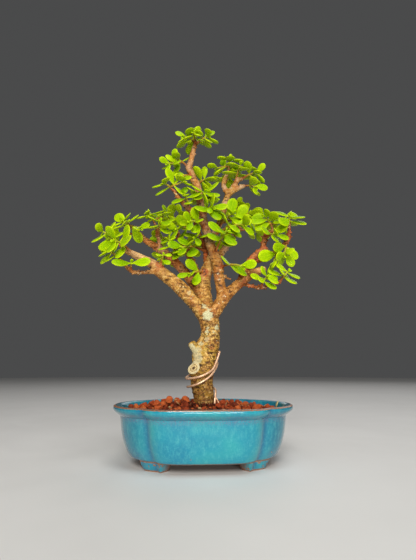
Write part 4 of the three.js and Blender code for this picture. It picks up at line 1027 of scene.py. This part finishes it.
def girth_and_red(co, routes):
    """How thick and how red the wood is at each point, from the nearest samples of the limbs."""
    samples = np.vstack([route for _, _, route in routes])
    reds = np.concatenate([np.full(len(route), red) for _, red, route in routes])
    tree = KDTree(len(samples))
    for i, row in enumerate(samples):
        tree.insert(row[:3], i)
    tree.balance()
    near = [tree.find_n(p, NEAREST_SAMPLES) for p in co]
    index = np.array([[i for _, i, _ in row] for row in near])
    away = np.array([[distance for _, _, distance in row] for row in near])
    weights = 1 / np.maximum(0.3, away - samples[index, 3] + 1.5) ** 2
    weights /= weights.sum(axis=1, keepdims=True)
    return (weights * samples[index, 3]).sum(axis=1), (weights * reds[index]).sum(axis=1)


def bark_relief(place):
    """Height of the bark's plates, grain and level rings."""
    coarse = noise.fractal(Vector((place.x * 0.2, place.y * 0.2, place.z * 0.33)), 1.0, 2.0, 3)
    fine = noise.fractal(place * 0.75, 0.9, 2.1, 3)
    ring = math.sin(place.z * 1.75 + 2.2 * noise.noise(place * 0.12)) * 0.5
    return 0.55 * coarse + 0.5 * fine + 0.25 * ring


def build_wood():
    routes = limb_routes()
    piece = grown_together(routes)
    mesh = piece.data
    co = places(mesh)
    normals = np.empty(len(co) * 3)
    mesh.vertex_normals.foreach_get("vector", normals)
    points = [Vector(p) for p in co]
    girth, red = girth_and_red(co, routes)
    relief = np.array([bark_relief(p) for p in points])
    swell = np.array([noise.noise(p * 0.075) for p in points])
    depth = RELIEF + THICK_RELIEF * smooth_step(girth, 2.2, 9)
    offset = depth * relief + SWELL * smooth_step(girth, 5, 9) * swell

    def away_from(*middle):
        return np.linalg.norm(co - np.array(middle), axis=1)

    # how much painted shade each hole gets
    hole_shade = np.zeros(len(co))
    for x, y, z, radius in HOLLOWS:
        hole = 1 - smooth_step(away_from(x, y, z), 0.45 * radius, 1.5 * radius)
        offset -= HOLLOW_DEPTH * hole
        hole_shade = np.maximum(hole_shade, hole)
    pale = np.zeros(len(co))
    wander = np.array([noise.noise(p * 0.45) + 0.5 * noise.noise(p * 1.3) for p in points])
    for x, y, z, radius, strength in PALE_PATCHES:
        away = away_from(x, y, z) + 1.6 * wander
        pale = np.maximum(pale, strength * (1 - smooth_step(away, radius - 0.6, radius + 0.3)))
    middle, facing, radius = [np.array(part, float) for part in STUMP_FACE]
    facing /= np.linalg.norm(facing)
    ahead = (co - middle) @ facing
    aside = np.linalg.norm(co - middle - ahead[:, None] * facing, axis=1)
    cut = smooth_step(ahead, -1.2, -0.5) * (1 - smooth_step(aside, radius - 1.1, radius - 0.2))
    offset *= 1 - 0.75 * cut
    co = co + normals.reshape(-1, 3) * offset[:, None]
    mesh.vertices.foreach_set("co", (co * MM + np.array(POT)).ravel())
    given = {"girth": girth, "red": np.clip(red, 0, 1), "relief": relief, "pale": pale,
             "hole_shade": 0.9 * hole_shade, "cut": cut, "aside": aside}
    for name, values in given.items():
        number(mesh, name, values)
    mesh.update()
    settle(piece, "wood")


# ---------------- leaves

# From foot to tip of a leaf: share of its length, half width as a share of its width, and how
# thick it is above and below its middle plane in millimetres.
LEAF_ROWS = [
    (-0.05, 0.06, 0.5, 0.5), (0.0, 0.08, 0.58, 0.6), (0.06, 0.11, 0.56, 0.62), (0.13, 0.17, 0.58, 0.7),
    (0.21, 0.25, 0.66, 0.84), (0.3, 0.34, 0.76, 0.98), (0.4, 0.425, 0.86, 1.12), (0.5, 0.48, 0.93, 1.22),
    (0.6, 0.503, 0.95, 1.25), (0.7, 0.495, 0.92, 1.2), (0.79, 0.455, 0.84, 1.05), (0.87, 0.375, 0.7, 0.84),
    (0.935, 0.27, 0.52, 0.6), (0.978, 0.155, 0.33, 0.36), (1.0, 0.045, 0.16, 0.16),
]
LEAF_COLUMNS = 14
LEAF_FACES = skin(len(LEAF_ROWS), LEAF_COLUMNS)
SHOOT_STEPS = 22
SHOOT_COLUMNS = 10
SHOOT_RADII = (1.0, 0.85)  # of a spray's first shoot and of its others
SHOOT_TIP_RADIUS = 0.72
FIRST_PAIR, LAST_PAIR = 0.3, 0.93  # where the leaves stand on a shoot
PAIR_SWELL, PAIR_WIDTH = 0.22, 0.9
BUD_SIZES = (0.24, 0.36)  # of the spray's leaf length
BUD_PLUMPNESS = 0.55
TONE_SPREAD = 0.2
# how much paler the sprays far from the trunk are: painted shade on the sprays inside the crown
CROWN_SHADE_DEPTH = 0.25
# A leaf of the solid sprays: two hubs over each other, and the six rim corners that both touch.
HUB_GAP = 2.2
HUB_BELOW = 0.58  # of the gap, under the rim
HUB_PLACE = 0.6  # of the leaf's length, from its foot
RIM_REACH = 0.37  # of the leaf's length, from the hubs to the furthest rim corner
RIM_CORNERS = 6
# The dry leaf: its foot and its tip.
FALLEN_LEAF = ((66.5, 12, 42.3), (69.7, 13, 50.3))


def leaf_points(length, rng, plump=1.0):
    """A fleshy leaf along X with its upper face to +Z, slightly bent and cupped."""
    width = LEAF_WIDTH_SHARE * length
    bend = rng.uniform(-0.035, 0.05) * length
    cup = rng.uniform(0.0, 0.5)
    lean = rng.uniform(-0.03, 0.03) * length
    fullness = rng.uniform(0.94, 1.05)
    points, numbers = [], []
    for share, half, up, down in LEAF_ROWS:
        half = max(half * width * (fullness if share > 0.2 else 1), 0.25)
        for side, rise in circle(LEAF_COLUMNS):
            thick = (up if rise > 0 else down) * plump
            cupped = cup * (side * half / (0.5 * width)) ** 2 * 0.6
            z = thick * rise + bend * (max(share, 0) - 0.45) ** 2 * 2 + cupped
            points.append((share * length, side * half + lean * share**2, z))
            numbers.append((max(share, 0), side, rise))
    return np.array(points), dict(zip(("along", "across", "face"), np.array(numbers).T))


def solid_leaves(node):
    """Each leaf of a CAD spray, read from its solid: its foot, its three axes and its length."""
    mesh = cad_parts[node].data
    corners, index = np.unique(np.round(places(mesh), 3), axis=0, return_inverse=True)
    index = index.ravel()
    joined = [set() for _ in corners]
    for polygon in mesh.polygons:
        ids = [index[v] for v in polygon.vertices]
        for a, b in zip(ids, ids[1:] + ids[:1]):
            joined[a].add(b)
            joined[b].add(a)
    hubs = [i for i, others in enumerate(joined) if len(others) >= RIM_CORNERS + 2]
    leaves = []
    for i, j in itertools.combinations(hubs, 2):
        apart = math.dist(corners[i], corners[j])
        shared = sorted(joined[i] & joined[j])
        if j in joined[i] or abs(apart - HUB_GAP) > 0.02 or len(shared) != RIM_CORNERS:
            continue
        rim = corners[shared]
        middle = rim.mean(0)
        above = (middle - corners[j]) @ (corners[i] - corners[j]) / apart
        top, under = (i, j) if above > HUB_GAP / 2 else (j, i)
        normal = (corners[top] - corners[under]) / apart
        centre = corners[under] + normal * HUB_BELOW * HUB_GAP
        along = middle - centre
        along -= normal * (along @ normal)
        along /= np.linalg.norm(along)
        length = max((rim - centre) @ along) / RIM_REACH
        leaves.append((centre - HUB_PLACE * length * along, along, np.cross(normal, along), normal, length))
    return leaves


def add_leaf(shape, place, length, rng, tone, plump=1.0):
    root, *axes = [np.array(part, float) for part in place]
    points, numbers = leaf_points(length, rng, plump)
    shape.add(root + points @ np.array(axes), LEAF_FACES, tone=tone, stem=0.0, age=0.0, **numbers)


def add_shoot(shape, curve, pairs, radius):
    """A green shoot, a little thicker at each pair of leaves."""
    length = sum((on_curve(curve, (i + 1) / 8) - on_curve(curve, i / 8)).length for i in range(8))
    shares = [LAST_PAIR]
    if pairs > 1:
        shares = [lerp(FIRST_PAIR, LAST_PAIR, pair / (pairs - 1)) for pair in range(pairs)]
    rows = []
    for i in range(-1, SHOOT_STEPS + 1):
        t = i / SHOOT_STEPS
        swell = sum(PAIR_SWELL * math.exp(-((t - share) * length / PAIR_WIDTH) ** 2) for share in shares)
        rows.append((*on_curve(curve, t), lerp(radius, SHOOT_TIP_RADIUS, max(t, 0)) + swell))
    rows.append((*(on_curve(curve, 1) + (curve[2] - curve[1]).normalized() * 0.7), 0.5))
    points, faces = tube(rows, SHOOT_COLUMNS)
    age = np.repeat(np.linspace(0, 1, len(rows)), SHOOT_COLUMNS)
    shape.add(points, faces, along=0.0, across=0.0, face=1.0, tone=0.5, stem=1.0, age=age)


def add_bud(shape, curve, leaves, length, rng):
    """The smallest pair of leaves, a quarter turn round the shoot from the last full pair."""
    tip = on_curve(curve, 1)
    along = (curve[2] - curve[1]).normalized()
    nearest = min(leaves, key=lambda leaf: (Vector(leaf[0]) - tip).length)
    side = along.cross(squared_to(along, Vector(nearest[1])))
    for way in (1, -1):
        direction = (along * 0.86 + side * way * 0.5).normalized()
        normal = squared_to(direction, along)
        place = (tip - along * 0.3, direction, normal.cross(direction), normal)
        size = rng.uniform(*BUD_SIZES) * length
        add_leaf(shape, place, size, rng, rng.uniform(0.75, 1.0), BUD_PLUMPNESS)


def build_sprays():
    for index, (name, (foot_point, leaf_length, tips)) in enumerate(SPRAYS.items()):
        rng = random.Random(index + 100)
        shape = Shape()
        leaves = solid_leaves("spray_" + name)
        x, y, _ = np.mean([leaf[0] for leaf in leaves], axis=0)
        # sprays near the trunk get darker leaves, as painted shade inside the crown
        outside_crown_shade = float(smooth_step(np.hypot(x, y), 15, 60)) * CROWN_SHADE_DEPTH
        for *place, length in leaves:
            tone = min(1, max(0, rng.gauss(0.5 + outside_crown_shade, TONE_SPREAD)))
            add_leaf(shape, place, LEAF_FULLNESS * length, rng, tone)
        for n, curve in enumerate(spray_curves(foot_point, tips)):
            add_shoot(shape, curve, tips[n][1], SHOOT_RADII[min(n, 1)])
            add_bud(shape, curve, leaves, leaf_length, rng)
        settle(shape.build("leaves_" + name, LEAF), "spray_" + name)


def build_fallen_leaf():
    root, tip = [Vector(end) for end in FALLEN_LEAF]
    along = (tip - root).normalized()
    normal = squared_to(along, Vector((-1, 0, 0)))
    points, numbers = leaf_points((tip - root).length, random.Random(3), 0.5)
    points[:, 2] += 0.5 * (numbers["across"] * np.abs(points[:, 1]) / 2.6) ** 2
    shape = Shape()
    shape.add(np.array(root) + points @ np.array([along, normal.cross(along), normal]), LEAF_FACES)
    settle(shape.build("dry_fallen_leaf", DRY_LEAF), "fallen_leaf")


# ---------------- wire and screens


def trunk_at(z):
    """The trunk's x, y, z and radius at a height."""
    route = LIMBS["trunk"][2]
    upper = next(i for i, point in enumerate(route) if point[2] > z)
    low, high = route[upper - 1], route[upper]
    share = (z - low[2]) / (high[2] - low[2])
    return [lerp(a, b, share) for a, b in zip(low, high)]


def build_wire():
    points = []
    for degrees, z, slack in WIRE_TURNS:
        x, y, _, radius = trunk_at(z)
        out = radius + 2 * GAP + WIRE_RADIUS + slack
        angle = math.radians(degrees)
        points.append((x + out * math.cos(angle), y + out * math.sin(angle), z, WIRE_RADIUS * 0.97))
    shape = Shape()
    shape.add(*tube(rounded_end(catmull(points, 10)), 14))
    shape.add(*tube(rounded_end(catmull(THIN_STRAND, 6)), 10))
    settle(shape.build("copper_training_wire", WIRE), "training_wire")


def dress_screens():
    for side in ("left", "right"):
        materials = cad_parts["drain_screen_" + side].data.materials
        materials.clear()
        materials.append(SCREEN)


build_pot()
build_soil()
build_wood()
build_sprays()
build_fallen_leaf()
build_wire()
dress_screens()

# ---------------- floor and light

FLOOR_RADIUS = 3000
WARM_WHITE = (1, 0.98, 0.94)
WHITE = (1, 1, 1)
LAMP_SPREAD = math.radians(100)
WORLD_COLOR = (0.86, 0.87, 0.88, 1)
WORLD_STRENGTH = 0.08


def build_stage():
    ring = [(FLOOR_RADIUS * cos, FLOOR_RADIUS * sin, 0) for cos, sin in circle(64)]
    shape = Shape()
    shape.add(ring, [tuple(range(len(ring)))])
    floor = shape.build("floor", floor_material())


def soft_light(name, place, target, width, height, power, color):
    """A rectangular studio lamp; places and sizes in metres, power in watts."""
    data = bpy.data.lights.new(name, "AREA")
    data.shape = "RECTANGLE"
    data.size = width
    data.size_y = height
    data.energy = power
    data.spread = LAMP_SPREAD
    data.color = color
    light = bpy.data.objects.new(name, data)
    bpy.context.scene.collection.objects.link(light)
    light.location = place
    light.rotation_euler = (Vector(target) - Vector(place)).to_track_quat("-Z", "Y").to_euler()


def dim_world():
    world = bpy.data.worlds.new("studio")
    bpy.context.scene.world = world
    world.use_nodes = True
    background = world.node_tree.nodes["Background"]
    background.inputs["Color"].default_value = WORLD_COLOR
    background.inputs["Strength"].default_value = WORLD_STRENGTH


build_stage()
soft_light("key", (-0.25, -2.05, 1.15), (0, 0, 0.18), 0.8, 0.8, 13.2, WARM_WHITE)
soft_light("fill", (0.4, -2.3, 0.2), (0, 0, 0.27), 1.0, 0.36, 9.2, WARM_WHITE)
soft_light("rim", (0.9, 1.9, 1.3), (0, 0, 0.2), 2.0, 1.6, 3.2, WHITE)
soft_light("top", (0.15, -0.8, 2.2), (0, 0, 0.1), 0.9, 0.9, 5.5, WHITE)
dim_world()
